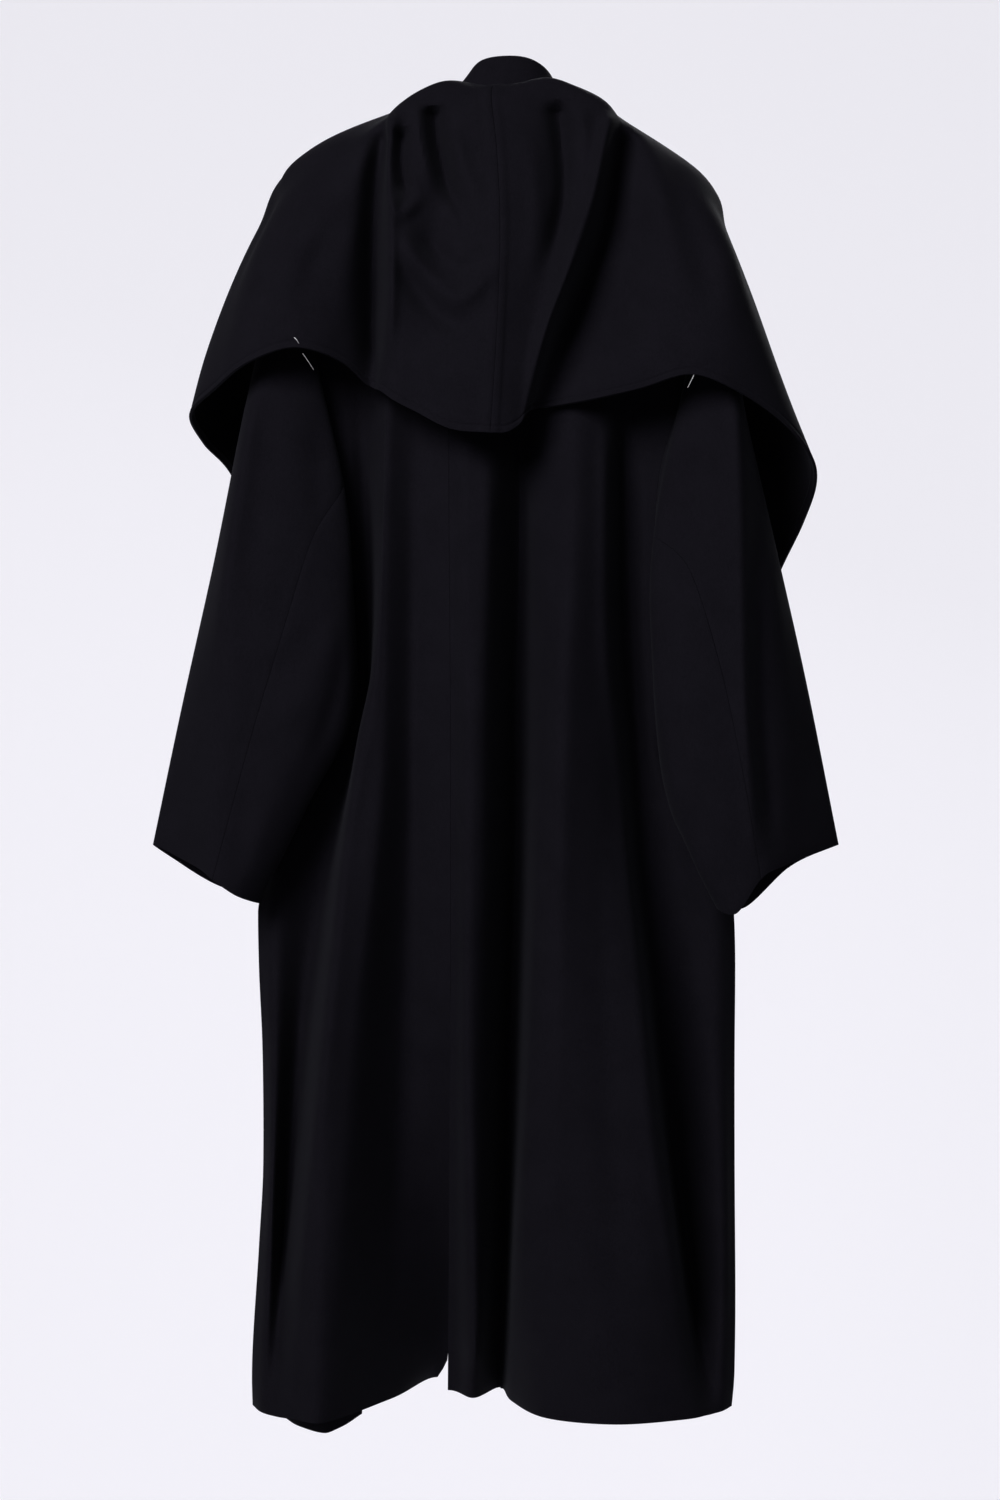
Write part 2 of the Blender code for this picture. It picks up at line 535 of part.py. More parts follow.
def sew(pieces):
    """Gives pieces that share points along a seam one normal there, and parts them by the seam gap."""
    normals = {name: normals_of(grid) * flip for name, (grid, flip) in pieces.items()}
    taken = seam_normals(pieces, normals)
    sewn = {}
    for name, (grid, flip) in pieces.items():
        normal, moved = normals[name].copy(), grid.copy()
        for edge, inner in grid_edges(grid.shape[:2]):
            keys = [seam_key(point) for point in grid[edge]]
            used = [key in taken for key in keys]
            for index, key in enumerate(keys):
                if used[index]:
                    normal[edge][index] = taken[key][name]
            if sum(used) < len(used) // 2:
                continue
            step = grid[inner] - grid[edge]
            tangent = np.gradient(grid[edge], axis=0)
            for index in np.flatnonzero(used):
                inward = step[index].copy()
                for axis in (normal[edge][index], tangent[index] / np.linalg.norm(tangent[index])):
                    inward -= inward @ axis * axis
                moved[edge][index] += inward / max(np.linalg.norm(inward), SMALL) * SEAM_GAP / 2
        sewn[name] = (moved, normal)
    return sewn


def wall_mesh(outer, inner, turned):
    """Vertices in metres and faces of a closed wall between two grids of points."""
    rows, columns = outer.shape[:2]
    size = rows * columns
    vertices = np.concatenate([outer.reshape(-1, 3), inner.reshape(-1, 3)]) * MM
    index = np.arange(size).reshape(rows, columns)
    corners = [index[:-1, :-1], index[1:, :-1], index[1:, 1:], index[:-1, 1:]]
    quads = np.stack([c.ravel() for c in corners], axis=1)
    halves = np.concatenate([quads[:, [0, 1, 2]], quads[:, [0, 2, 3]]])
    rim = np.concatenate([index[:, 0], index[-1, 1:], index[-2::-1, -1], index[0, -2:0:-1]])
    after = np.roll(rim, -1)
    height = vertices[:, 2] + vertices[:, 0] * SIDE_LEAN
    steep = (height[rim] > height[after])[:, None]
    first = np.where(steep, np.stack([after, rim, after + size], axis=1),
                     np.stack([after, rim, rim + size], axis=1))
    second = np.where(steep, np.stack([rim, rim + size, after + size], axis=1),
                      np.stack([after, rim + size, after + size], axis=1))
    sides = np.concatenate([first, second])
    faces = np.concatenate([halves, halves[:, ::-1] + size, sides])
    if turned:
        faces = faces[:, ::-1]
    return vertices.tolist(), faces.tolist()


def wool(name):
    """The black wool, one material for each piece."""
    material = bpy.data.materials.new(name)
    material.use_nodes = True
    shader = material.node_tree.nodes["Principled BSDF"]
    shader.inputs["Base Color"].default_value = WOOL_COLOUR
    shader.inputs["Roughness"].default_value = WOOL_ROUGHNESS
    shader.inputs["Metallic"].default_value = 0.0
    return material


def add_wall(name, outer, normal, flip):
    """One piece of cloth as a named object."""
    vertices, faces = wall_mesh(outer, outer - normal * CLOTH, flip > 0)
    mesh = bpy.data.meshes.new(name)
    mesh.from_pydata(vertices, [], faces)
    mesh.validate()
    mesh.shade_smooth()
    mesh.materials.append(wool(name + "_wool"))
    piece = bpy.data.objects.new(name, mesh)
    bpy.context.scene.collection.objects.link(piece)
    return piece


def scarf(table, seat, seat_normal, along=SCARF_ALONG, out=SCARF_OUT):
    """A half of the scarf: rows along it from the centre seam, columns from the neck to its lower edge."""
    length = np.concatenate([[0], np.cumsum(np.linalg.norm(np.diff(seat, axis=0), axis=1))])
    away = seat_normal / np.linalg.norm(seat_normal, axis=1, keepdims=True)
    beside = seat + away * SCARF_GAP
    places = [place for _, place, *_ in table if place is not None]
    beside += np.interp(length / length[-1], *zip(*SEAT_FORWARD))[:, None] * np.array(FORWARD)
    net = []
    for _, place, *points in table:
        points = np.array(points, float)
        start = points[0] + (points[0] - points[1]) * FREE_EDGE
        if place is not None:
            start = curve_at(beside, length, place)
        net.append([start, *points])
    net = np.array(net)
    steps = np.arange((net.shape[0] - 1) * along + 1) / along
    rows = spline_weights(net.shape[0], steps)
    columns = spline_weights(net.shape[1], np.arange((net.shape[1] - 1) * out + 1) / out)
    grid = np.einsum("ar,rck,bc->abk", rows, net, columns)
    fade = np.clip(1 - np.arange(grid.shape[1]) / out, 0, 1)[:, None]
    for row, step in enumerate(steps):
        if step <= len(places) - 1:
            place = np.interp(step, np.arange(len(places)), places)
            grid[row] += (curve_at(beside, length, place) - grid[row, 0]) * fade
    return grid


def seat_line(grid, columns):
    """The line up on the collar where the scarf starts, over a range of the collar's columns."""
    picked = grid[:, columns]
    share = np.linspace(0, 1, picked.shape[1])
    height = np.interp(share, *zip(*SEAT_HEIGHT)) * (picked.shape[0] - 1)
    low = np.floor(height).astype(int)
    part = (height - low)[:, None]
    every = np.arange(picked.shape[1])
    return picked[low, every] * (1 - part) + picked[low + 1, every] * part


def curve_at(points, length, place):
    """The point of a line at a share of its length."""
    return np.array([np.interp(place * length[-1], length, points[:, k]) for k in range(3)])


def clear_scene():
    for item in list(bpy.data.objects):
        bpy.data.objects.remove(item, do_unlink=True)


def main():
    clear_scene()
    panels = {
        "back_left": panel(BACK_LEFT_FOLDS, LEFT_ARMHOLE, "back", True, BACK_RIGHT_FOLDS[1]),
        "back_right": panel(BACK_RIGHT_FOLDS, RIGHT_ARMHOLE, "back", False, BACK_LEFT_FOLDS[-2]),
        "front_left": panel(FRONT_LEFT_FOLDS, LEFT_ARMHOLE, "front", True),
        "front_right": panel(FRONT_RIGHT_FOLDS, RIGHT_ARMHOLE, "front", False),
    }
    band = collar(neck_line(panels))
    coat = {
        "back_left": (panels["back_left"], -1),
        "back_right": (panels["back_right"], -1),
        "front_left": (panels["front_left"], 1),
        "front_right": (panels["front_right"], 1),
        "sleeve_left_upper": (sleeve(LEFT_SLEEVE, LEFT_ARMHOLE, -2, 2), 1),
        "sleeve_left_under": (sleeve(LEFT_SLEEVE, LEFT_ARMHOLE, 2, 6), 1),
        "sleeve_right_upper": (sleeve(RIGHT_SLEEVE, RIGHT_ARMHOLE, -2, 2), -1),
        "sleeve_right_under": (sleeve(RIGHT_SLEEVE, RIGHT_ARMHOLE, 2, 6), -1),
        "collar": (band, 1),
    }
    sewn = sew(coat)
    outer, normal = sewn["collar"]
    nape = int(np.argmin(np.linalg.norm(band[0] - np.array(BACK_LEFT_FOLDS[-1][1]), axis=1)))
    to_left, to_right = slice(nape, None, -1), slice(nape, None)
    halves = {
        "scarf_left": (scarf(LEFT_SCARF, seat_line(outer, to_left), seat_line(normal, to_left)), -1),
        "scarf_right": (scarf(RIGHT_SCARF, seat_line(outer, to_right), seat_line(normal, to_right)), 1),
    }
    sewn.update(sew(halves))
    sides = {name: flip for name, (_, flip) in {**coat, **halves}.items()}
    for name, (outer, normal) in sewn.items():
        add_wall(name, outer, normal, sides[name])


if __name__ == "__main__":
    main()
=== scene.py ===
"""Looks of the scarf coat: the same cuts of cloth as the frame's solids, made finer, with the creases,
seams, stitching and nap of double-faced black wool.

Tables are in millimetres, the meshes in metres. The back faces -Y, and the camera looks along +Y.
"""

import math

import bpy
import numpy as np
from mathutils import Matrix

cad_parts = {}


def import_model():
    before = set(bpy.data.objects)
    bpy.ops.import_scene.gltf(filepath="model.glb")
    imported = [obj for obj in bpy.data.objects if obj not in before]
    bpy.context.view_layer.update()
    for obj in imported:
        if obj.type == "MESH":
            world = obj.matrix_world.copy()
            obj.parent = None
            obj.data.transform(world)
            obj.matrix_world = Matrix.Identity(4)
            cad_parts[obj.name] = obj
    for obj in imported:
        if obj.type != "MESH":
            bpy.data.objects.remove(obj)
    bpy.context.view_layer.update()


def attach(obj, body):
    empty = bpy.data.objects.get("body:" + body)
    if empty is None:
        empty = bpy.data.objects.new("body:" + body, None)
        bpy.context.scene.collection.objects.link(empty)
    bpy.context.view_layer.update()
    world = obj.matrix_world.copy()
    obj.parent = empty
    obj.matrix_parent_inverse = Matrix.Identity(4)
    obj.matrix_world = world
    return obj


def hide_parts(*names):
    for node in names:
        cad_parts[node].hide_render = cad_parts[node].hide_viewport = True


MM = 0.001
CLOTH = 3.0            # thickness of the double-faced wool
SEAM_GAP = 0.3         # between two pieces along a seam
SCARF_GAP = 4.5        # between the collar and the scarf's edge that starts beside it
SHOULDER_ROUND = 46    # depth over which the cloth rounds over the shoulder line
ON_SHOULDER_LINE = 3   # a fold whose top is nearer than this to y = 0 starts on the shoulder line
ON_NECK = 2            # and one whose top is at least this far from it is on the neckline too
CENTRE_REST = -614     # height of the underarm's row where it meets the centre back and the fronts
TOP_FADE = (1, 0.8, 0.5, 0.2)
SMALL = 1e-9
SEAM_DIGITS = 2        # places after the point to which two pieces' points must agree to be a seam
LEAST_AGREEMENT = 0.4  # between a piece's own normal and the mean one at a seam
SIDE_LEAN = 0.05       # tells which end of a side face is the upper one where it is nearly level

# Samples between two lines of a table: across a panel, down a panel below the underarm, along a sleeve
ACROSS = 2
BELOW_ARM = 11
ALONG_SLEEVE = 9
# Rows of a sleeve's table: its two seams, the front one counted back from the top fold
BACK_SEAM = 2
FRONT_SEAM = -2
LINES_BETWEEN_SEAMS = 4
# Places round half of an armhole, in sleeve lines from the top fold (0) to the underarm fold (4)
ROUND_ARMHOLE = (0, 0.06, 0.15, 0.3, 0.6, 1, 1.5, 2, 2.5, 3, 3.5, 4)
# Share of the armhole's height at which each of those sleeve lines starts
LINE_STARTS = (0.0, 0.28, 0.62, 0.82, 1.0)

# Armholes, from the shoulder tip to the underarm: rows of (z, x, y) down the back and down the front
LEFT_ARMHOLE = {
    "back": ((-67, -186, -1), (-130, -187, -28), (-205, -184, -34), (-291, -168, -34), (-371, -151, -34),
             (-446, -142, -33), (-500, -139, -31), (-548, -138, -24)),
    "front": ((-67, -186, -1), (-130, -188, 20), (-205, -188, 26), (-300, -181, 28), (-380, -172, 28),
              (-450, -162, 22), (-510, -148, 4), (-548, -138, -24)),
}
RIGHT_ARMHOLE = {
    "back": ((-76, 187, -1), (-140, 188, -28), (-210, 185, -34), (-290, 171, -34), (-370, 150, -34),
             (-480, 144, -34), (-577, 147, -31), (-630, 153, -24)),
    "front": ((-76, 187, -1), (-140, 189, 20), (-210, 189, 26), (-310, 183, 28), (-420, 175, 28),
              (-520, 167, 22), (-590, 158, 4), (-630, 153, -24)),
}

# Centre back seam above the vent, rows of (z, x, y)
CENTRE_SEAM = ((-150, -30, -42), (-340, -48, -68), (-624, -46, -92), (-820, -46, -88), (-846, -46, -87),
               (-850, -46, -87))

# Fold lines of the panels. Each row: name, top (x, y, z) on the neckline or the shoulder, then its
# line down the panel as (z, x, y). The side line starts at the underarm.
BACK_LEFT_FOLDS = (
    ("side", None, ((-548, -138, -24), (-600, -158, -18), (-640, -179, -15), (-720, -214, -8),
                    (-780, -232, -5), (-826, -231, -8), (-912, -227, -13), (-1018, -225, -30),
                    (-1094, -228, -44), (-1210, -233, -64), (-1238, -232, -68))),
    ("side band", (-162, -1, -57), ((-150, -163, -32), (-340, -142, -30), (-480, -131, -26),
                                    (-548, -130, -20), (-600, -147, -21), (-770, -212, -26),
                                    (-912, -212, -42), (-1080, -214, -74), (-1238, -222, -98))),
    ("side valley", (-130, -1, -45), ((-150, -134, -32), (-340, -127, -28), (-480, -122, -24),
                                      (-548, -123, -20), (-600, -133, -21), (-770, -171, -14),
                                      (-912, -190, -16), (-1080, -202, -48), (-1238, -208, -116))),
    ("left ridge edge", (-99, -1, -29), ((-150, -116, -36), (-340, -110, -60), (-480, -113, -76),
                                         (-548, -119, -82), (-624, -133, -88), (-770, -151, -102),
                                         (-912, -166, -112), (-1080, -178, -120), (-1238, -188, -130))),
    ("left ridge", (-66, -2, -15), ((-150, -98, -38), (-340, -104, -68), (-624, -110, -94),
                                    (-912, -140, -118), (-1080, -150, -128), (-1238, -158, -140))),
    ("left trough", (-36, -30, -13), ((-150, -70, -38), (-340, -80, -56), (-624, -83, -73),
                                      (-912, -96, -56), (-1080, -98, -42), (-1238, -100, -34))),
    ("centre back", (0, -38, -15), (*CENTRE_SEAM, (-876, -45, -81), (-896, -43, -77), (-952, -38, -60),
                                    (-1080, -40, -18), (-1171, -48, 16), (-1216, -51, 36),
                                    (-1236, -61, 48))),
)
BACK_RIGHT_FOLDS = (
    ("centre back", (0, -38, -15), (*CENTRE_SEAM, (-896, -46, -86), (-952, -47, -80), (-1080, -48, -54),
                                    (-1236, -50, -12))),
    ("centre ridge", (18, -36, -14), ((-150, -8, -44), (-340, -25, -78), (-624, -25, -107),
                                      (-912, -27, -104), (-1080, -26, -78), (-1238, -25, -38))),
    ("centre valley", (36, -30, -12), ((-150, 24, -34), (-340, 19, -34), (-624, 16, -33),
                                       (-912, 10, -14), (-1080, 6, -2), (-1238, 0, 10))),
    ("right ridge edge", (52, -18, -12), ((-150, 48, -38), (-340, 47, -64), (-624, 40, -90),
                                          (-912, 28, -100), (-1080, 17, -92), (-1238, 11, -52))),
    ("right ridge", (66, -2, -14), ((-150, 66, -40), (-340, 70, -78), (-624, 58, -112),
                                    (-912, 50, -126), (-1080, 44, -130), (-1238, 42, -124))),
    ("right flat", (90, -1, -24), ((-150, 88, -38), (-340, 92, -68), (-624, 90, -92),
                                   (-912, 94, -128), (-1080, 98, -140), (-1238, 105, -151))),
    ("right flat edge", (111, -1, -34), ((-150, 108, -36), (-340, 106, -52), (-624, 111, -62),
                                         (-912, 136, -112), (-1080, 156, -120), (-1238, 170, -130))),
    ("side valley", (133, -1, -49), ((-150, 132, -34), (-340, 120, -28), (-624, 130, -20),
                                     (-912, 157, -12), (-1080, 174, -26), (-1238, 194, -108))),
    ("side band", (161, -1, -63), ((-150, 160, -32), (-340, 142, -32), (-480, 136, -32),
                                   (-577, 140, -29), (-630, 146, -26), (-770, 200, -30),
                                   (-912, 203, -42), (-1080, 206, -66), (-1238, 207, -94))),
    ("side", None, ((-630, 153, -24), (-700, 192, -13), (-762, 223, -10), (-826, 225, -12),
                    (-912, 224, -17), (-1018, 223, -30), (-1133, 222, -52), (-1210, 220, -66),
                    (-1238, 217, -72))),
)
FRONT_LEFT_FOLDS = (
    ("side", None, BACK_LEFT_FOLDS[0][2]),
    ("side fold", (-162, -1, -57), ((-150, -164, 24), (-340, -160, 30), (-450, -152, 28),
                                    (-548, -137, 5), (-640, -166, 14), (-770, -214, 26),
                                    (-912, -212, 32), (-1258, -220, 2))),
    ("side trough", (-130, -1, -45), ((-150, -136, 26), (-340, -134, 32), (-548, -129, 30),
                                      (-640, -146, 36), (-770, -178, 48), (-1278, -212, 62))),
    ("front trough", (-99, -1, -29), ((-150, -108, 28), (-340, -106, 32), (-640, -126, 40),
                                      (-912, -162, 62), (-1298, -201, 112))),
    ("front ridge", (-66, -2, -15), ((-150, -80, 34), (-340, -86, 52), (-624, -106, 78),
                                     (-912, -138, 108), (-1311, -178, 142))),
    ("front fall", (-60, 24, -36), ((-150, -66, 38), (-300, -72, 48), (-624, -94, 68),
                                    (-912, -122, 92), (-1304, -158, 138))),
    ("front edge", (-48, 38, -92), ((-150, -52, 44), (-300, -60, 56), (-624, -82, 74),
                                    (-912, -106, 94), (-1288, -138, 122))),
)
FRONT_RIGHT_FOLDS = (
    ("front edge", (48, 38, -92), ((-150, 50, 44), (-300, 46, 56), (-624, 34, 78),
                                   (-912, 18, 100), (-1262, 2, 122))),
    ("front fall", (60, 24, -36), ((-150, 66, 38), (-340, 64, 48), (-624, 60, 58),
                                   (-912, 58, 74), (-1260, 58, 86))),
    ("front ridge", (66, -2, -14), ((-150, 82, 34), (-340, 86, 54), (-624, 96, 86),
                                    (-912, 110, 112), (-1266, 116, 134))),
    ("front trough", (90, -1, -24), ((-150, 98, 32), (-340, 98, 36), (-624, 112, 44),
                                     (-912, 134, 54), (-1260, 138, 76))),
    ("side ridge", (111, -1, -34), ((-150, 116, 28), (-340, 114, 34), (-640, 130, 48),
                                    (-912, 158, 70), (-1258, 164, 94))),
    ("side trough", (133, -1, -49), ((-150, 138, 26), (-340, 138, 32), (-520, 144, 34),
                                     (-630, 144, 32), (-770, 176, 42), (-912, 188, 44),
                                     (-1252, 192, 44))),
    ("side fold", (161, -1, -63), ((-150, 164, 24), (-340, 162, 30), (-520, 160, 28),
                                   (-630, 153, 8), (-770, 206, 18), (-912, 210, 20),
                                   (-1250, 208, -14))),
    ("side", None, BACK_RIGHT_FOLDS[-1][2]),
)

# Sleeve lines from the armhole to the cuff. Each row: name, then (x, y, z) where the sleeve folds over
# its armhole seam, at three sections and at the cuff. The rows go round the sleeve: down the back from
# the top fold to the underarm fold, then up the front. The back seam and the front seam part the upper
# sleeve from the under sleeve.
LEFT_SLEEVE = (
    ("top fold", (-200, -3, -100), (-228, -12, -235), (-267, -22, -420), (-301, -25, -575),
     (-330, -25, -714)),
    ("back crease", (-187, -56, -216), (-224, -78, -290), (-249, -91, -425), (-262, -92, -575),
     (-284, -71, -734)),
    ("back seam", (-148, -66, -380), (-174, -88, -425), (-199, -97, -505), (-231, -97, -612),
     (-268, -87, -745)),
    ("back under", (-138, -64, -484), (-148, -82, -530), (-168, -90, -590), (-205, -92, -668),
     (-246, -85, -760)),
    ("underarm fold", (-137, -42, -578), (-147, -58, -616), (-176, -64, -668), (-203, -62, -722),
     (-227, -60, -768)),
    ("front under", (-169, -6, -503), (-178, -30, -566), (-196, -44, -628), (-218, -46, -690),
     (-240, -46, -762)),
    ("front seam", (-186, 26, -386), (-202, 12, -450), (-222, -2, -525), (-248, -14, -625),
     (-274, -24, -750)),
    ("front crease", (-190, 34, -222), (-222, 24, -300), (-254, 12, -430), (-283, 2, -575),
     (-309, -12, -730)),
)
RIGHT_SLEEVE = (
    ("top fold", (200, -3, -108), (222, -14, -240), (260, -24, -420), (291, -19, -560),
     (323, -10, -715)),
    ("back crease", (189, -56, -232), (222, -80, -320), (236, -92, -455), (240, -95, -588),
     (264, -78, -733)),
    ("back seam", (147, -66, -425), (176, -86, -455), (203, -98, -541), (222, -101, -630),
     (243, -92, -744)),
    ("back under", (144, -64, -552), (156, -82, -596), (168, -90, -640), (190, -94, -698),
     (220, -92, -776)),
    ("underarm fold", (156, -46, -658), (163, -60, -688), (174, -68, -712), (187, -72, -741),
     (203, -74, -772)),
    ("front under", (176, 0, -572), (188, -34, -640), (200, -50, -686), (214, -56, -724),
     (230, -58, -772)),
    ("front seam", (191, 24, -406), (206, 8, -470), (226, -4, -557), (248, -16, -646),
     (272, -28, -737)),
    ("front crease", (192, 34, -234), (224, 22, -310), (256, 12, -445), (282, 2, -585),
     (304, -6, -722)),
)

# Collar, from the nape round to each front edge: height of its top above the neck seam as (x, y, z)
COLLAR_TOP = (
    ("left end", (-55, 46, -68)),
    ("left front", (-56, 28, -8)),
    ("left side", (-35, 3, 18)),
    ("left back", (-19, -16, 34)),
    ("nape", (8, -21, 38)),
    ("right back", (32, -16, 35)),
    ("right side", (50, 2, 23)),
    ("right front", (62, 28, -6)),
    ("right end", (55, 46, -68)),
)

# The scarf's ribs, from the centre seam to the front end. Each row: name, place along the neck seam
# (0 at the nape, 1 at the collar's front end, None where it hangs free), then (x, y, z) at the roll
# over the neck and at four places out to the lower edge.
LEFT_SCARF = (
    ("centre seam", 0.00, (-8, -61, -5), (-3, -88, -66), (0, -108, -144), (-3, -120, -235),
     (-9, -122, -332)),
    ("hood inner", 0.06, (-33, -61, -5), (-36, -80, -64), (-39, -98, -143), (-42, -113, -228),
     (-46, -120, -328)),
    ("hood trough", 0.12, (-57, -54, 3), (-57, -68, -60), (-59, -86, -138), (-69, -105, -215),
     (-79, -113, -311)),
    ("hood outer", 0.18, (-80, -50, -4), (-87, -76, -60), (-89, -98, -138), (-91, -108, -213),
     (-98, -109, -301)),
    ("hood edge", 0.24, (-97, -47, -15), (-104, -72, -60), (-103, -94, -138), (-103, -102, -212),
     (-112, -94, -290)),
    ("side valley", 0.30, (-103, -42, -22), (-108, -56, -60), (-115, -66, -137), (-119, -68, -210),
     (-121, -76, -284)),
    ("cape inner", 0.35, (-109, -38, -26), (-124, -66, -68), (-137, -84, -139), (-141, -92, -204),
     (-141, -98, -267)),
    ("cape crest", 0.40, (-128, -32, -35), (-150, -66, -78), (-163, -94, -138), (-168, -107, -195),
     (-169, -117, -256)),
    ("cape back", 0.44, (-162, -20, -40), (-181, -60, -84), (-195, -90, -138), (-201, -110, -194),
     (-198, -121, -254)),
    ("shoulder back", 0.48, (-187, -12, -54), (-204, -48, -98), (-222, -78, -148), (-232, -96, -207),
     (-237, -107, -267)),
    ("arm back", 0.52, (-194, -4, -61), (-219, -28, -118), (-245, -50, -180), (-258, -64, -233),
     (-268, -76, -286)),
    ("arm side", 0.56, (-196, 4, -63), (-232, 2, -122), (-259, -2, -181), (-283, -8, -248),
     (-296, -24, -304)),
    ("arm front", 0.60, (-194, 12, -63), (-228, 32, -124), (-252, 44, -188), (-273, 48, -256),
     (-289, 40, -326)),
    ("shoulder front", 0.65, (-178, 22, -58), (-210, 54, -126), (-232, 74, -198), (-248, 86, -272),
     (-264, 86, -356)),
    ("chest outer", 0.72, (-146, 34, -50), (-178, 72, -128), (-202, 94, -216), (-220, 106, -312),
     (-240, 102, -432)),
    ("chest", 0.80, (-112, 42, -44), (-142, 84, -134), (-168, 92, -248), (-194, 112, -362),
     (-222, 104, -522)),
    ("lapel", 0.90, (-86, 54, -66), (-110, 92, -176), (-140, 90, -306), (-174, 116, -432),
     (-214, 104, -612)),
    ("front neck", None, (-68, 70, -150), (-88, 98, -262), (-124, 90, -380), (-162, 120, -500),
     (-210, 104, -676)),
    ("front fall", None, (-64, 82, -330), (-84, 110, -410), (-120, 96, -500), (-156, 126, -590),
     (-207, 106, -724)),
    ("front low", None, (-70, 96, -540), (-88, 122, -586), (-120, 104, -636), (-154, 130, -690),
     (-205, 110, -758)),
    ("end", None, (-76, 106, -738), (-94, 130, -748), (-122, 112, -758), (-154, 134, -770),
     (-203, 114, -784)),
)
RIGHT_SCARF = (
    LEFT_SCARF[0],
    ("hood inner", 0.08, (18, -62, -2), (22, -84, -66), (22, -102, -144), (12, -114, -232),
     (6, -118, -331)),
    ("hood trough", 0.16, (50, -54, 6), (58, -70, -62), (50, -92, -142), (30, -108, -226),
     (16, -113, -325)),
    ("hood outer", 0.22, (78, -54, -3), (84, -76, -62), (70, -98, -142), (42, -110, -224),
     (22, -110, -318)),
    ("hood edge", 0.27, (101, -50, -13), (98, -78, -64), (82, -100, -142), (50, -106, -222),
     (27, -98, -310)),
    ("side valley", 0.32, (110, -42, -22), (108, -54, -66), (98, -62, -142), (68, -66, -214),
     (38, -74, -304)),
    ("cape inner", 0.36, (116, -38, -28), (124, -56, -76), (126, -72, -150), (112, -78, -215),
     (84, -94, -298)),
    ("cape crest", 0.40, (133, -32, -37), (148, -66, -86), (158, -88, -156), (146, -96, -214),
     (129, -104, -289)),
    ("cape back", 0.44, (158, -24, -50), (172, -64, -96), (186, -92, -158), (184, -106, -214),
     (175, -113, -277)),
    ("shoulder back", 0.48, (182, -16, -64), (198, -54, -108), (216, -82, -164), (218, -100, -222),
     (217, -107, -290)),
    ("arm back", 0.52, (194, -6, -76), (212, -36, -126), (231, -58, -186), (249, -72, -248),
     (262, -78, -314)),
    ("arm side", 0.56, (195, 2, -79), (218, -8, -132), (241, -18, -192), (265, -26, -262),
     (294, -36, -341)),
    ("arm front", 0.60, (192, 12, -80), (216, 30, -134), (240, 36, -198), (268, 34, -276),
     (305, 6, -366)),
    ("shoulder front", 0.65, (180, 24, -72), (204, 56, -134), (230, 76, -208), (258, 82, -296),
     (297, 54, -402)),
    ("chest outer", 0.72, (148, 34, -56), (178, 74, -132), (204, 96, -222), (232, 108, -328),
     (276, 96, -452)),
    ("chest", 0.80, (112, 42, -44), (142, 84, -134), (170, 92, -250), (202, 114, -368),
     (246, 108, -530)),
    ("lapel", 0.90, (86, 54, -66), (110, 92, -176), (142, 90, -308), (180, 118, -436),
     (226, 108, -616)),
    ("front neck", None, (66, 70, -150), (86, 98, -262), (122, 90, -382), (164, 122, -502),
     (216, 108, -678)),
    ("front fall", None, (58, 82, -330), (80, 110, -410), (116, 96, -500), (154, 128, -590),
     (208, 110, -724)),
    ("front low", None, (56, 98, -540), (76, 122, -586), (110, 106, -636), (148, 132, -690),
     (202, 114, -758)),
    ("end", None, (54, 110, -738), (74, 132, -748), (106, 116, -758), (144, 136, -770),
     (196, 118, -784)),
)
COLLAR_UP = 3
SCARF_ALONG = 2        # samples between two ribs
SCARF_OUT = 3          # samples between two places of a rib
FREE_EDGE = 0.2        # how far the scarf's inner edge lies beyond its first place, where it hangs free
FORWARD = (0.0, 6.0, 7.0)                      # how far the scarf stands off over the coat's fronts
SEAT_FORWARD = ((0.3, 0), (0.55, 1))            # (place, share of it)
SEAT_HEIGHT = ((0, 0.36), (0.3, 0.4), (0.55, 0.62), (1, 0.62))   # (place, share of the collar's height)

# How much finer than the solids the pieces are
FINE = 6
SCARF_FINE = 5

# The camera, in the frame: its distance, height and lens
CAMERA_FAR = 2900.0
CAMERA_HEIGHT = -624.0
CAMERA_LENS = 72.5

CREASE_STEPS = 8       # samples between two points of a crease's line
TURN = 22.0            # a crease fades over twice this depth where the cloth turns to the other side
BACK_MIDDLE = -30.0    # depth at which a crease of the coat's back has half its height
FRONT_MIDDLE = 30.0
SCARF_BACK_MIDDLE = -10.0
SCARF_FRONT_MIDDLE = 40.0
EASE = 0.5             # share of the way to its neighbours' mean that a point moves in one round
EASE_ROUNDS = 6        # for the kinks at the scarf's fold lines
INSIDE_ROUNDS = 40     # for the wall's direction, so that its inside folds less behind a ridge
STITCH_INSET = 6.0     # from the scarf's edge to the stitches that hold its turned edge
STITCH_DEPTH = 0.9
STITCH_WIDTH = 1.3
EDGE_SAMPLES = (0.8, 1.8, 3.0, 4.2, 5.2, 6.0, 6.8, 7.8, 9.2)    # distances from the scarf's edge
EDGE_DROPPED = 4       # lines of points beside the edge that those at the distances replace
WELT_HEIGHT = 1.1
WELT_WIDTH = 7.5
WELT_SLOPE = 1.6
WELT_FADE = (0.02, 0.12)               # shares of the scarf's columns, from the neck, over which it starts
SEAM_ROUND = 0.8       # radius of the cloth's edges
EDGE_SEGMENTS = 2

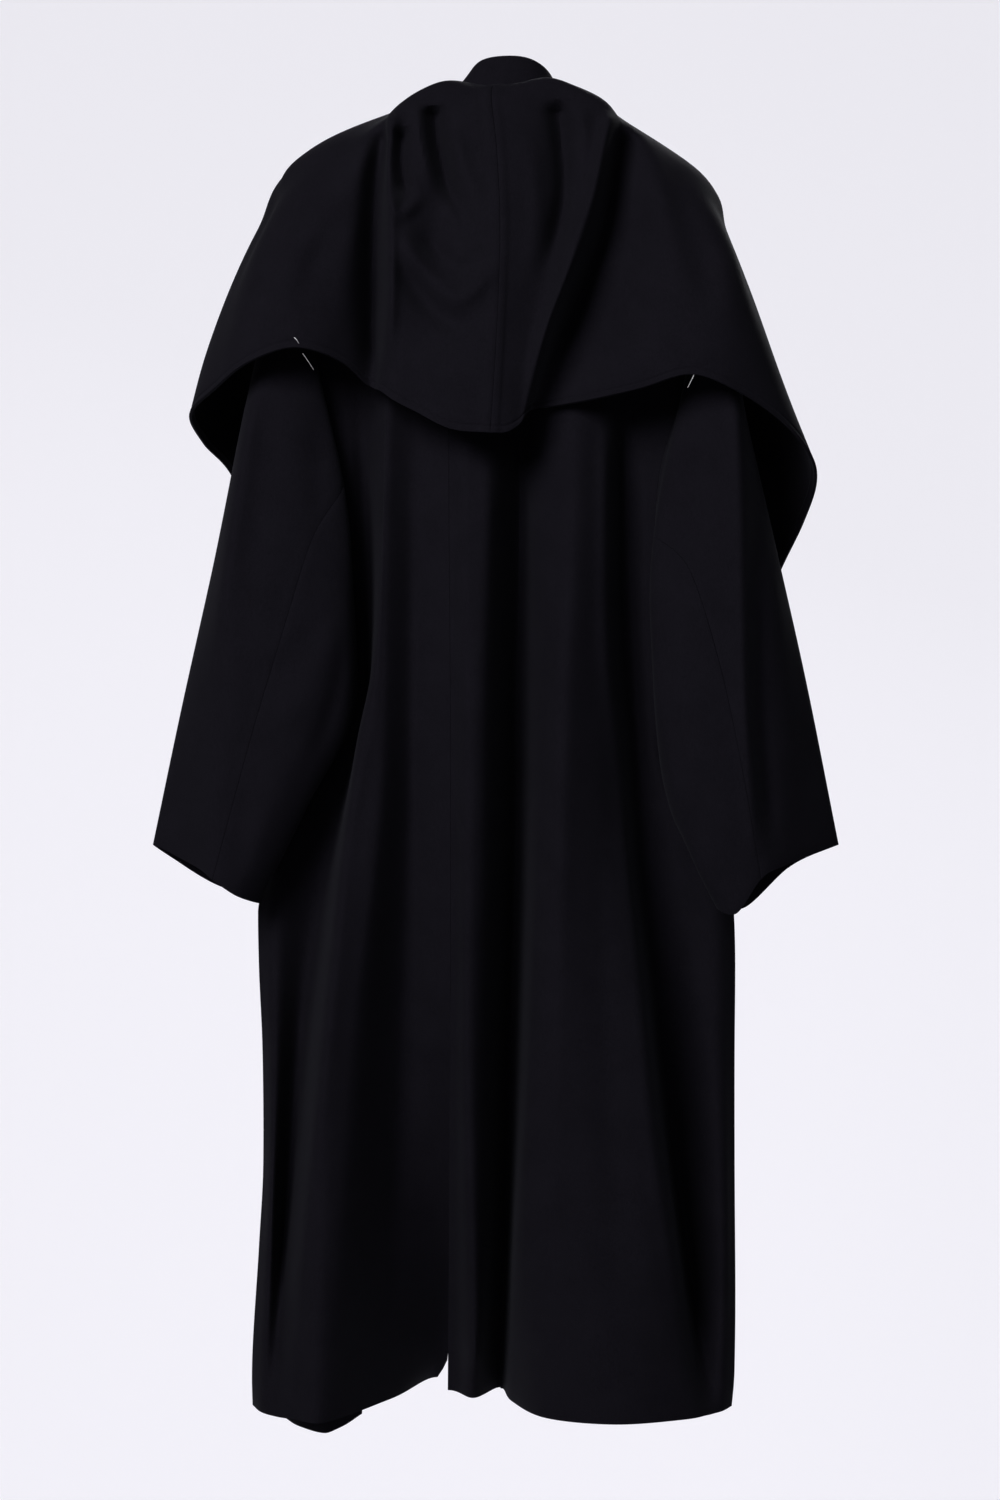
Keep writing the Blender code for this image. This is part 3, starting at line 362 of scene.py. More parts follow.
# Creases of the scarf's back. Each row: name, half width, height (a trough is negative), the shares of
# its length over which it starts and ends, and its line as (across, up) seen from behind.
SCARF_CREASES = (
    ("hood left ridge", 7, 9, (0.05, 0.3), ((-101, -8), (-107, -50), (-108, -86), (-105, -130),
                                            (-105, -200), (-110, -270))),
    ("hood left valley", 9, -15, (0.05, 0.15), ((-112, -26), (-121, -70), (-124, -130), (-124, -200),
                                                (-122, -270))),
    ("hood left drop", 7, -18, (0.15, 0.35), ((-93, -22), (-96, -50), (-92, -80), (-84, -102))),
    ("hood drop rim", 7, 7, (0.3, 0.4), ((-106, -84), (-98, -108), (-84, -102), (-74, -84))),
    ("hood diagonal", 8, -17, (0.05, 0.4), ((-64, -4), (-60, -40), (-50, -78), (-38, -104), (-28, -130))),
    ("hood top ridge", 7, 7, (0.1, 0.4), ((-80, -2), (-76, -36), (-68, -76), (-60, -100))),
    ("hood near ridge", 7, 5, (0.3, 0.5), ((-46, -16), (-38, -54), (-24, -92), (-14, -120))),
    ("upper drape", 9, 9, (0.2, 0.25), ((-100, -118), (-76, -158), (-44, -190), (-18, -176), (-6, -146))),
    ("upper drape hollow", 10, -9, (0.3, 0.3), ((-104, -150), (-74, -190), (-42, -216), (-14, -206))),
    ("inner drape hollow", 9, -6, (0.3, 0.3), ((-80, -118), (-58, -146), (-34, -160), (-14, -144))),
    ("lower drape", 14, 4, (0.4, 0.4), ((-106, -216), (-74, -252), (-38, -268), (-12, -258))),
    ("right edge", 7, 10, (0.05, 0.2), ((108, -8), (98, -50), (88, -92), (72, -136), (60, -180), (42, -228),
                                        (28, -284))),
    ("right recess", 9, -16, (0.05, 0.2), ((122, -28), (114, -72), (104, -114), (88, -158), (72, -204),
                                           (50, -254))),
    ("right valley", 9, -16, (0.05, 0.4), ((54, 0), (60, -44), (62, -90), (52, -140), (40, -180))),
    ("right valley ridge", 8, 5, (0.1, 0.5), ((76, -4), (80, -46), (76, -92), (64, -134))),
    ("right inner ridge", 9, 4, (0.3, 0.5), ((26, -20), (34, -70), (34, -130), (22, -190))),
    ("cape right ridge", 16, 5, (0.3, 0.4), ((132, -30), (150, -90), (164, -150), (176, -214))),
    ("cape right hollow", 16, -5, (0.3, 0.4), ((152, -40), (178, -100), (196, -160), (202, -220))),
    ("cape right outer", 14, 4, (0.3, 0.4), ((178, -70), (204, -130), (222, -190), (226, -240))),
    ("cape right low", 14, -4, (0.4, 0.3), ((112, -150), (128, -200), (140, -250))),
    ("cape left crest", 14, 5, (0.2, 0.4), ((-106, -16), (-150, -84), (-190, -146), (-222, -206))),
    ("cape left hollow", 15, -5, (0.3, 0.4), ((-128, -30), (-160, -100), (-182, -160), (-196, -220))),
    ("cape left drag", 13, 4, (0.4, 0.4), ((-134, -80), (-144, -140), (-150, -190), (-158, -240))),
    ("cape left side", 12, 3, (0.3, 0.4), ((-176, -56), (-206, -120), (-232, -180))),
)
# The same kind of creases on its front, seen from behind through the coat
SCARF_FRONT_CREASES = (
    ("left fall one", 15, 4, (0.2, 0.3), ((-112, -60), (-140, -170), (-160, -300), (-172, -440))),
    ("left fall two", 16, -4, (0.3, 0.3), ((-90, -110), (-118, -240), (-138, -380), (-150, -540))),
    ("left fall three", 15, 3.5, (0.3, 0.2), ((-70, -220), (-96, -380), (-116, -560), (-126, -740))),
    ("left fall four", 16, 3, (0.3, 0.2), ((-150, -420), (-168, -560), (-176, -740))),
    ("left drag", 16, -3, (0.3, 0.4), ((-160, -110), (-200, -220), (-224, -330))),
    ("right fall one", 15, 4, (0.2, 0.3), ((110, -60), (138, -180), (166, -310), (184, -450))),
    ("right fall two", 16, -4, (0.3, 0.3), ((88, -120), (114, -250), (140, -400), (152, -560))),
    ("right fall three", 15, 3.5, (0.3, 0.2), ((66, -240), (88, -400), (108, -570), (112, -740))),
    ("right fall four", 16, 3, (0.3, 0.2), ((144, -430), (166, -580), (170, -740))),
    ("right drag", 16, -3, (0.3, 0.4), ((166, -120), (206, -240), (240, -360))),
)
# Creases of the body's back, which sharpen the folds of the solids
BACK_CREASES = (
    ("left crest line", 12, 4, (0.3, 0.3), ((-110, -420), (-114, -640), (-128, -860), (-146, -1080),
                                            (-158, -1220))),
    ("left hollow line", 12, -6, (0.2, 0.3), ((-84, -330), (-83, -520), (-84, -700), (-88, -830),
                                              (-95, -960), (-100, -1090), (-104, -1200))),
    ("left second crest", 11, 4, (0.4, 0.4), ((-60, -520), (-62, -700), (-64, -880), (-68, -1020))),
    ("centre flank", 13, 22, (0.1, 0.05), ((-7, -300), (-9, -440), (-11, -560), (-11, -720), (-13, -880),
                                           (-16, -1060), (-19, -1240))),
    ("centre other flank", 9, 7, (0.1, 0.2), ((36, -300), (33, -440), (30, -560), (30, -720), (26, -860),
                                              (22, -1000), (16, -1180))),
    ("centre slit", 7, -13, (0.05, 0.05), ((19, -300), (19, -432), (15, -560), (15, -720), (12, -880),
                                           (9, -1008), (6, -1104), (3, -1240))),
    ("left slit", 9, -12, (0.1, 0.1), ((-132, -300), (-133, -432), (-134, -528), (-152, -624), (-168, -720),
                                       (-178, -816), (-188, -912), (-198, -1008), (-210, -1104),
                                       (-218, -1180))),
    ("left slit lip", 9, 7, (0.2, 0.1), ((-118, -560), (-136, -640), (-151, -720), (-160, -816),
                                         (-170, -912), (-180, -1008), (-192, -1104), (-202, -1180))),
    ("right slit", 8, -12, (0.05, 0.05), ((119, -300), (118, -432), (120, -528), (131, -624), (140, -720),
                                          (151, -816), (158, -912), (166, -1008), (182, -1104),
                                          (194, -1190))),
    ("right slit lip", 9, 7, (0.05, 0.1), ((103, -300), (102, -432), (104, -528), (114, -624), (123, -720),
                                           (134, -816), (141, -912), (149, -1008), (165, -1104),
                                           (178, -1190))),
    ("centre crest line", 10, 3, (0.3, 0.3), ((-27, -400), (-28, -620), (-30, -860), (-30, -1100),
                                              (-32, -1230))),
    ("right crest line", 11, 2.5, (0.3, 0.3), ((72, -390), (64, -620), (56, -860), (50, -1080), (48, -1230))),
    ("right flat drag", 22, -4, (0.3, 0.3), ((96, -600), (100, -800), (108, -1000), (118, -1200))),
    ("right flat swell", 20, 2, (0.3, 0.3), ((128, -880), (140, -1040), (156, -1210))),
    ("left side drag", 14, 2, (0.4, 0.4), ((-150, -700), (-168, -860), (-184, -1040), (-196, -1220))),
    ("right side drag", 12, 2, (0.4, 0.4), ((168, -700), (186, -880), (196, -1060), (204, -1220))),
    ("left hem turn", 8, 1.8, (0.3, 0.3), ((-118, -1254), (-90, -1242), (-66, -1222), (-60, -1206))),
)
# And of its two fronts
FRONT_CREASES = (
    ("left front crest", 14, 2.5, (0.3, 0.3), ((-96, -400), (-112, -640), (-134, -880), (-158, -1120),
                                               (-172, -1280))),
    ("left front hollow", 14, -2.5, (0.3, 0.3), ((-118, -460), (-140, -700), (-168, -940), (-186, -1240))),
    ("left front drag", 16, 2, (0.4, 0.3), ((-176, -760), (-192, -960), (-204, -1200))),
    ("right front crest", 14, 2.5, (0.3, 0.3), ((88, -400), (98, -640), (110, -880), (116, -1220))),
    ("right front hollow", 14, -2.5, (0.3, 0.3), ((100, -440), (118, -700), (132, -940), (138, -1220))),
    ("right front drag", 16, 2, (0.4, 0.3), ((158, -760), (166, -960), (170, -1200))),
    ("right edge wave", 14, 2, (0.4, 0.4), ((52, -520), (46, -760), (40, -1000), (36, -1180))),
)
# And of the sleeves, seen from behind
SLEEVE_CREASES = (
    ("left outer crest", 8, 6, (0.2, 0.3), ((-232, -260), (-246, -350), (-262, -450), (-280, -560))),
    ("left outer hollow", 12, -3, (0.3, 0.4), ((-214, -270), (-226, -360), (-240, -470), (-254, -580))),
    ("left elbow drag", 11, -4, (0.4, 0.4), ((-160, -480), (-188, -524), (-220, -546), (-256, -540))),
    ("left elbow swell", 13, 3, (0.4, 0.4), ((-166, -540), (-192, -580), (-222, -600), (-262, -600))),
    ("left under drag", 9, -4, (0.3, 0.5), ((-150, -500), (-156, -560), (-176, -620), (-200, -660))),
    ("left arm drag", 12, -3, (0.4, 0.4), ((-168, -270), (-176, -360), (-170, -440))),
    ("left cuff wave", 14, 3, (0.5, 0.2), ((-272, -620), (-280, -680), (-286, -730))),
    ("left cuff hollow", 12, -3, (0.5, 0.2), ((-242, -640), (-248, -700), (-252, -746))),
    ("right turn ridge", 8, 6, (0.1, 0.15), ((224, -262), (229, -365), (231, -480), (233, -576),
                                             (240, -672), (248, -746))),
    ("right turn hollow", 10, -13, (0.1, 0.15), ((242, -262), (246, -365), (248, -480), (250, -576),
                                                 (257, -672), (264, -736))),
    ("right outer swell", 12, 4, (0.3, 0.3), ((258, -400), (270, -500), (280, -600), (292, -700))),
    ("right elbow drag", 11, -3, (0.4, 0.4), ((160, -520), (184, -560), (210, -576), (228, -566))),
    ("right elbow swell", 13, 3, (0.4, 0.4), ((160, -590), (184, -622), (208, -640), (228, -630))),
    ("right under drag", 9, -4, (0.3, 0.5), ((158, -480), (162, -560), (172, -640), (186, -700))),
    ("right arm drag", 12, -3, (0.4, 0.4), ((176, -290), (188, -380), (182, -450))),
)
SLEEVE_MIDDLE = ((-740, -52), (-100, -6))    # (height, y) of the middle of a sleeve's thickness

# Thread tacks: name, thickness, line as (x, y, z)
TACKS = (
    ("tack_left_upper", 0.5, ((-189, -124, -245), (-187, -125, -247), (-185, -121, -250))),
    ("tack_left_lower", 0.5, ((-182, -112, -258), (-177, -104, -265), (-173, -96, -271))),
    ("tack_right", 0.5, ((181, -112, -273), (178, -110, -280), (174, -100, -288))),
)

TACK_STEPS = 6
TACK_ROUND = 3
BEVEL_FROM = 55        # degrees between faces from which an edge is rounded
WOOL_ROUGHNESS = 0.92
WOOL_SPECULAR = 0.03
SHEEN = 0.02
SHEEN_ROUGHNESS = 0.45
# Noise of the wool: scale and detail
CLOUD = (26.0, 5.0)    # faint mottling
FIBRE = (900.0, 3.0)   # felted fibres
NAP = (2600.0, 2.0)    # ends of the nap
NOISE_ROUGHNESS = 0.6
SHIFTS = (0.0, 3.0, 7.0)             # between the three, so that none follows another
SHIFT_TURN = (1.0, 0.7, 0.3)
FIBRE_SHARE = 0.75                   # of the wool's tone; the mottling has the rest
TONE_FROM = 0.3
TONE_TO = 0.75
TWILL_DISTORTION = 3.0
TWILL_DETAIL = 2.0
TWILL_RELIEF = 0.25                  # against the nap's relief
FIBRE_RELIEF = 0.8
RELIEF_STRENGTH = 0.35
RELIEF_DEPTH = 0.0004
SEED_STEP = 1.7                      # between the noise of two pieces
SHEEN_TINT = (0.55, 0.57, 0.68, 1.0)
WOOL_DARK = (0.0029, 0.0026, 0.0040, 1.0)
WOOL_LIGHT = (0.0069, 0.0063, 0.0092, 1.0)
TWILL_SCALE = 420.0
THREAD_ROUGHNESS = 0.7
THREAD_TWIST = 1400.0
THREAD_DARK = (0.5, 0.5, 0.52, 1.0)
THREAD_LIGHT = (0.85, 0.85, 0.86, 1.0)

WALL_COLOUR = (0.3, 0.296, 0.315)
WALL_GLOW = 2.4       # the part of the wall's light that the rest of the room gives it
WALL_ROUGHNESS = 0.8
FLOOR_COLOUR = (0.84, 0.84, 0.87)
FLOOR_ROUGHNESS = 0.7
STAGE_GRAIN = 1.5      # scale of the unevenness of wall and floor
STAGE_SHADE = 0.985    # their darker tone, as a share of the colour
STAGE_HALF = 4.0
WALL_BEHIND = 5.6      # far enough that the coat is seen from its front too
FLOOR_HEIGHT = -2.8
AIM = (0.0, 0.0, -0.6)
# Lights: name, place, size, power, colour
LIGHTS = (
    ("key", (-1.5, -2.8, 1.0), 1.5, 140.0, (1.0, 0.99, 1.0)),
    ("fill", (-0.4, -3.6, 1.4), 2.4, 14.0, (0.98, 0.98, 1.0)),
    ("front", (1.0, 3.4, 2.4), 1.6, 180.0, (0.98, 0.98, 1.0)),
)
WORLD_COLOUR = (0.9, 0.92, 1.0, 1.0)
WORLD_STRENGTH = 0.1


def spline_weights(count, places):
    """Catmull-Rom weights of count evenly spaced points, one row for each place from 0 to count - 1."""
    weights = np.zeros((len(places), count))
    for row, place in enumerate(places):
        first = min(int(math.floor(place)), count - 2)
        t = place - first
        basis = (
            (-t + 2 * t * t - t ** 3) / 2,
            (2 - 5 * t * t + 3 * t ** 3) / 2,
            (t + 4 * t * t - 3 * t ** 3) / 2,
            (-t * t + t ** 3) / 2,
        )
        for step, share in zip((-1, 0, 1, 2), basis):
            index = first + step
            if index < 0:
                weights[row, 0] += 2 * share
                weights[row, 1] -= share
            elif index >= count:
                weights[row, -1] += 2 * share
                weights[row, -2] -= share
            else:
                weights[row, index] += share
    return weights


def monotone(knots, values, places):
    """A smooth curve through values at rising knots that never overshoots them, read at places."""
    knots, values = np.asarray(knots, float), np.asarray(values, float)
    places = np.clip(places, knots[0], knots[-1])
    step = np.diff(knots)
    rise = np.diff(values, axis=0) / step[:, None]
    slope = np.zeros_like(values)
    slope[0], slope[-1] = rise[0], rise[-1]
    for i in range(1, len(knots) - 1):
        same = rise[i - 1] * rise[i] > 0
        mean = 2 * rise[i - 1] * rise[i] / np.where(same, rise[i - 1] + rise[i], 1)
        slope[i] = np.where(same, mean, 0)
    span = np.clip(np.searchsorted(knots, places, side="right") - 1, 0, len(step) - 1)
    t = ((places - knots[span]) / step[span])[:, None]
    h = step[span][:, None]
    return ((1 + 2 * t) * (1 - t) ** 2 * values[span] + t * (1 - t) ** 2 * h * slope[span]
            + t * t * (3 - 2 * t) * values[span + 1] + t * t * (t - 1) * h * slope[span + 1])


def line_at(line, heights):
    """The points of one fold line, rows of (z, x, y) from the top down, at heights."""
    line = np.asarray(line, float)
    xy = monotone(-line[:, 0], line[:, 1:], -np.asarray(heights, float))
    return np.column_stack([xy, heights])


def rounding(depth):
    """How far the cloth has come forward of the shoulder line at a depth below it, from 0 to 1."""
    share = np.clip(depth / SHOULDER_ROUND, 0, 1)
    return np.sqrt(1 - (1 - share) ** 2)


def armhole_heights(places):
    """Share of the armhole's height at places counted in sleeve lines."""
    starts = np.array(LINE_STARTS)[:, None]
    return monotone(np.arange(len(LINE_STARTS)), starts, np.asarray(places, float))[:, 0]


def armhole_edge(armhole, face, places):
    """Points of one half of an armhole, at places counted in sleeve lines from the shoulder tip."""
    line = armhole[face]
    top, bottom = line[0][0], line[-1][0]
    heights = top + (bottom - top) * armhole_heights(places)
    points = line_at([(top, line[0][1], line[1][2]), *line[1:]], heights)
    points[:, 1] = line[0][2] + (points[:, 1] - line[0][2]) * rounding(top - heights)
    return points


def fold_line(fold, underarm, above, below):
    """One fold line of a panel, at shares of the way above and below a height beside the underarm."""
    _, (x, y, z), line = fold
    hem = line[-1][0]
    heights = np.concatenate([z + (underarm - z) * above, underarm + (hem - underarm) * below])
    full = [(z, x, line[0][2] if abs(y) < ON_SHOULDER_LINE else y), *line]
    points = line_at(full, heights)
    points[:, 1] = y + (points[:, 1] - y) * rounding(z - heights)
    return points


def panel(folds, armhole, face, side_first, ghost=None, across=ACROSS * FINE, rows=BELOW_ARM * FINE):
    """A panel's outer face as a grid: rows down from the shoulder and neck, columns across its folds."""
    places = fine(ROUND_ARMHOLE)
    above = armhole_heights(places)
    below = (np.arange(rows) + 1) / rows
    underarm = armhole[face][-1][0]
    lines = []
    for index, fold in enumerate(folds):
        share = index / (len(folds) - 1) if side_first else 1 - index / (len(folds) - 1)
        if fold[1] is None:
            side = line_at(fold[2], underarm + (fold[2][-1][0] - underarm) * below)
            lines.append(np.vstack([armhole_edge(armhole, face, places), side]))
        else:
            height = underarm + (CENTRE_REST - underarm) * share
            lines.append(fold_line(fold, height, above, below))
    tops = np.array([line[0] for line in lines])
    if ghost is not None:
        lines.insert(len(lines) if side_first else 0, fold_line(ghost, CENTRE_REST, above, below))
    net = np.array(lines)
    first = 1 if ghost is not None and not side_first else 0
    count = len(folds)
    samples = np.arange((count - 1) * across + 1) / across
    grid = np.einsum("ac,cvk->vak", spline_weights(len(net), first + samples), net)
    if side_first:
        top = top_edge(tops, samples)
    else:
        top = top_edge(tops[::-1], samples)[::-1]
    shift = top - grid[0]
    fade = np.interp(np.arange(len(grid)) / FINE, np.arange(len(TOP_FADE) + 1), [*TOP_FADE, 0])
    return grid + fade[:, None, None] * shift


def top_edge(tops, samples):
    """A panel's top edge from the shoulder tip: straight to the side of the neck, then curved."""
    on_shoulder = int(np.sum(np.abs(tops[:, 1]) < ON_SHOULDER_LINE)) - 1
    points = np.empty((len(samples), 3))
    for row, place in enumerate(samples):
        if place <= on_shoulder:
            points[row] = [np.interp(place, np.arange(len(tops)), tops[:, k]) for k in range(3)]
        else:
            points[row] = spline_weights(len(tops) - on_shoulder, [place - on_shoulder]) @ tops[on_shoulder:]
    return points


def sleeve(table, armhole, first, last, along=ALONG_SLEEVE * FINE):
    """A sleeve piece's outer face: rows round the sleeve between two of its lines, columns to the cuff."""
    lines = len(table)
    places = fine(ROUND_ARMHOLE)
    ring = sorted({p for p in places} | {lines - p for p in places} | {-p for p in places})
    ring = [place for place in ring if first <= place <= last]
    starts = [armhole_point(armhole, index, lines) for index in range(lines)]
    net = np.array([[start, *row[1:]] for start, row in zip(starts, table)], float)
    around = np.concatenate([net, net, net])
    by_line = np.einsum("ac,csk->ask", spline_weights(3 * lines, [p + lines for p in ring]), around)
    sections = net.shape[1]
    share = np.arange(along + 1) / along * (sections - 1)
    grid = np.einsum("bs,ask->abk", spline_weights(sections, share), by_line)
    fade = np.clip(1 - share, 0, 1) ** 2
    for row, place in enumerate(ring):
        grid[row] += (armhole_point(armhole, place % lines, lines) - grid[row, 0]) * fade[:, None]
    return grid


def armhole_point(armhole, place, lines):
    """The armhole's point at a place round the sleeve."""
    if place <= lines // 2:
        return armhole_edge(armhole, "back", [place])[0]
    return armhole_edge(armhole, "front", [lines - place])[0]


def neck_line(panels, across=ACROSS * FINE):
    """The neck edge of the four panels, from the left front edge round the nape to the right one."""
    parts = []
    for name, folds, turned in (
        ("front_left", FRONT_LEFT_FOLDS, True),
        ("back_left", BACK_LEFT_FOLDS, False),
        ("back_right", BACK_RIGHT_FOLDS, False),
        ("front_right", FRONT_RIGHT_FOLDS, True),
    ):
        on_neck = [i for i, fold in enumerate(folds) if fold[1] and abs(fold[1][1]) >= ON_NECK]
        part = panels[name][0, on_neck[0] * across:on_neck[-1] * across + 1]
        part = part[::-1] if turned else part
        parts.append(part if not parts else part[1:])
    return np.concatenate(parts)


def collar(base, up=COLLAR_UP * FINE):
    """The collar's outer face: rows up from the neck seam's points, columns round the neck."""
    top_net = np.array([point for _, point in COLLAR_TOP], float)
    length = np.concatenate([[0], np.cumsum(np.linalg.norm(np.diff(base, axis=0), axis=1))])
    top = spline_weights(len(top_net), length / length[-1] * (len(top_net) - 1)) @ top_net
    rise = np.arange(up + 1)[:, None, None] / up
    return base[None] * (1 - rise) + top[None] * rise


def bisector(grid, axis):
    """At each point of a grid, the mean direction of the two steps that meet there along an axis."""
    step = np.diff(grid, axis=axis)
    step /= np.maximum(np.linalg.norm(step, axis=2, keepdims=True), SMALL)
    first, last = np.take(step, [0], axis=axis), np.take(step, [-1], axis=axis)
    return np.concatenate([first, step], axis=axis) + np.concatenate([step, last], axis=axis)


def normals_of(grid):
    """Unit normals of a grid of points, on the side that its rows and columns turn to."""
    normal = np.cross(bisector(grid, 1), bisector(grid, 0))
    return normal / np.maximum(np.linalg.norm(normal, axis=2, keepdims=True), SMALL)


def grid_edges(shape):
    """The four edges of a grid, each with the line of points next to it."""
    rows, columns = shape
    return (
        ((0, slice(None)), (1, slice(None))),
        ((rows - 1, slice(None)), (rows - 2, slice(None))),
        ((slice(None), 0), (slice(None), 1)),
        ((slice(None), columns - 1), (slice(None), columns - 2)),
    )


def seam_key(point):
    """A point's place, rounded so that two pieces' points agree along a seam."""
    return tuple(np.round(point, SEAM_DIGITS))


def seam_normals(pieces, normals):
    """For each point on an edge, the pieces that meet there and the normal each takes."""
    meeting = {}
    for name, (grid, _) in pieces.items():
        for edge, _ in grid_edges(grid.shape[:2]):
            for point, normal in zip(grid[edge], normals[name][edge]):
                meeting.setdefault(seam_key(point), {}).setdefault(name, normal)
    taken = {}
    for key, own in meeting.items():
        if len(own) < 2:
            continue
        mean = sum(own.values())
        mean = mean / max(np.linalg.norm(mean), SMALL)
        agree = min(normal @ mean for normal in own.values()) > LEAST_AGREEMENT
        taken[key] = {}
        for name in own:
            if agree:
                taken[key][name] = mean
            else:
                kin = sum(n for other, n in own.items() if other.split("_")[0] in kin_of(name))
                taken[key][name] = kin / max(np.linalg.norm(kin), SMALL)
    return taken


def kin_of(name):
    """The kinds of piece that lie on the same side of an acute seam as a piece."""
    return ("sleeve",) if name.startswith("sleeve") else ("back", "front", "collar")


def sew(pieces):
    """Gives pieces that share points along a seam one normal there, and parts them by the seam gap."""
    normals = {name: normals_of(grid) * flip for name, (grid, flip) in pieces.items()}
    taken = seam_normals(pieces, normals)
    sewn = {}
    for name, (grid, flip) in pieces.items():
        normal, moved = normals[name].copy(), grid.copy()
        for edge, inner in grid_edges(grid.shape[:2]):
            keys = [seam_key(point) for point in grid[edge]]
            used = [key in taken for key in keys]
            for index, key in enumerate(keys):
                if used[index]:
                    normal[edge][index] = taken[key][name]
            if sum(used) < len(used) // 2:
                continue
            step = grid[inner] - grid[edge]
            tangent = np.gradient(grid[edge], axis=0)
            for index in np.flatnonzero(used):
                inward = step[index].copy()
                for axis in (normal[edge][index], tangent[index] / np.linalg.norm(tangent[index])):
                    inward -= inward @ axis * axis
                moved[edge][index] += inward / max(np.linalg.norm(inward), SMALL) * SEAM_GAP / 2
        sewn[name] = (moved, normal)
    return sewn


def wall_mesh(outer, inner, turned):
    """Vertices in metres and faces of a closed wall between two grids of points."""
    rows, columns = outer.shape[:2]
    size = rows * columns
    vertices = np.concatenate([outer.reshape(-1, 3), inner.reshape(-1, 3)]) * MM
    index = np.arange(size).reshape(rows, columns)
    corners = [index[:-1, :-1], index[1:, :-1], index[1:, 1:], index[:-1, 1:]]
    quads = np.stack([c.ravel() for c in corners], axis=1)
    halves = np.concatenate([quads[:, [0, 1, 2]], quads[:, [0, 2, 3]]])
    rim = np.concatenate([index[:, 0], index[-1, 1:], index[-2::-1, -1], index[0, -2:0:-1]])
    after = np.roll(rim, -1)
    height = vertices[:, 2] + vertices[:, 0] * SIDE_LEAN
    steep = (height[rim] > height[after])[:, None]
    first = np.where(steep, np.stack([after, rim, after + size], axis=1),
                     np.stack([after, rim, rim + size], axis=1))
    second = np.where(steep, np.stack([rim, rim + size, after + size], axis=1),
                      np.stack([after, rim + size, after + size], axis=1))
    sides = np.concatenate([first, second])
    faces = np.concatenate([halves, halves[:, ::-1] + size, sides])
    if turned:
        faces = faces[:, ::-1]
    return vertices.tolist(), faces.tolist()


def scarf(table, seat, seat_normal, along=SCARF_ALONG * SCARF_FINE, out=SCARF_OUT * SCARF_FINE):
    """A half of the scarf: rows along it from the centre seam, columns from the neck to its lower edge."""
    length = np.concatenate([[0], np.cumsum(np.linalg.norm(np.diff(seat, axis=0), axis=1))])
    away = seat_normal / np.linalg.norm(seat_normal, axis=1, keepdims=True)
    beside = seat + away * SCARF_GAP
    places = [place for _, place, *_ in table if place is not None]
    beside += np.interp(length / length[-1], *zip(*SEAT_FORWARD))[:, None] * np.array(FORWARD)
    net = []
    for _, place, *points in table:
        points = np.array(points, float)
        start = points[0] + (points[0] - points[1]) * FREE_EDGE
        if place is not None:
            start = curve_at(beside, length, place)
        net.append([start, *points])
    net = np.array(net)
    steps = np.arange((net.shape[0] - 1) * along + 1) / along
    rows = spline_weights(net.shape[0], steps)
    columns = spline_weights(net.shape[1], np.arange((net.shape[1] - 1) * out + 1) / out)
    grid = np.einsum("ar,rck,bc->abk", rows, net, columns)
    fade = np.clip(1 - np.arange(grid.shape[1]) / out, 0, 1)[:, None]
    for row, step in enumerate(steps):
        if step <= len(places) - 1:
            place = np.interp(step, np.arange(len(places)), places)
            grid[row] += (curve_at(beside, length, place) - grid[row, 0]) * fade
    return grid


def seat_line(grid, columns):
    """The line up on the collar where the scarf starts, over a range of the collar's columns."""
    picked = grid[:, columns]
    share = np.linspace(0, 1, picked.shape[1])
    height = np.interp(share, *zip(*SEAT_HEIGHT)) * (picked.shape[0] - 1)
    low = np.floor(height).astype(int)
    part = (height - low)[:, None]
    every = np.arange(picked.shape[1])
    return picked[low, every] * (1 - part) + picked[low + 1, every] * part


def curve_at(points, length, place):
    """The point of a line at a share of its length."""
    return np.array([np.interp(place * length[-1], length, points[:, k]) for k in range(3)])


def fine(places):
    """Places round half of an armhole with FINE samples for each of the solid's."""
    steps = np.arange((len(places) - 1) * FINE + 1) / FINE
    return list(np.interp(steps, np.arange(len(places)), places))


def smooth_step(value, low, high):
    """0 below low, 1 above high, and a smooth rise between them."""
    share = np.clip((value - low) / (high - low), 0, 1)
    return share * share * (3 - 2 * share)


def seen(points):
    """Where points appear from behind: across and up in the plane y = 0, as the camera projects them."""
    nearer = 1 + points[..., 1] / CAMERA_FAR
    up = (points[..., 2] - CAMERA_HEIGHT) / nearer + CAMERA_HEIGHT
    return np.stack([points[..., 0] / nearer, up], axis=-1)


def crease(at, line, width, ends):
    """A soft ridge's height, 0 to 1, over points in the seen plane, along a line and fading at its ends."""
    line = np.asarray(line, float)
    curve = spline_weights(len(line), np.arange((len(line) - 1) * CREASE_STEPS + 1) / CREASE_STEPS) @ line
    length = np.concatenate([[0], np.cumsum(np.linalg.norm(np.diff(curve, axis=0), axis=1))])
    nearest = np.full(at.shape[:-1], np.inf)
    along = np.zeros(at.shape[:-1])
    for start, end, here, there in zip(curve[:-1], curve[1:], length[:-1], length[1:]):
        run = end - start
        share = np.clip((at - start) @ run / (run @ run), 0, 1)
        away = np.linalg.norm(at - start - share[..., None] * run, axis=-1)
        closer = away < nearest
        nearest = np.where(closer, away, nearest)
        along = np.where(closer, (here + share * (there - here)) / length[-1], along)
    fade = smooth_step(along, 0, max(ends[0], SMALL)) * smooth_step(1 - along, 0, max(ends[1], SMALL))
    return np.exp(-((nearest / width) ** 2)) * fade


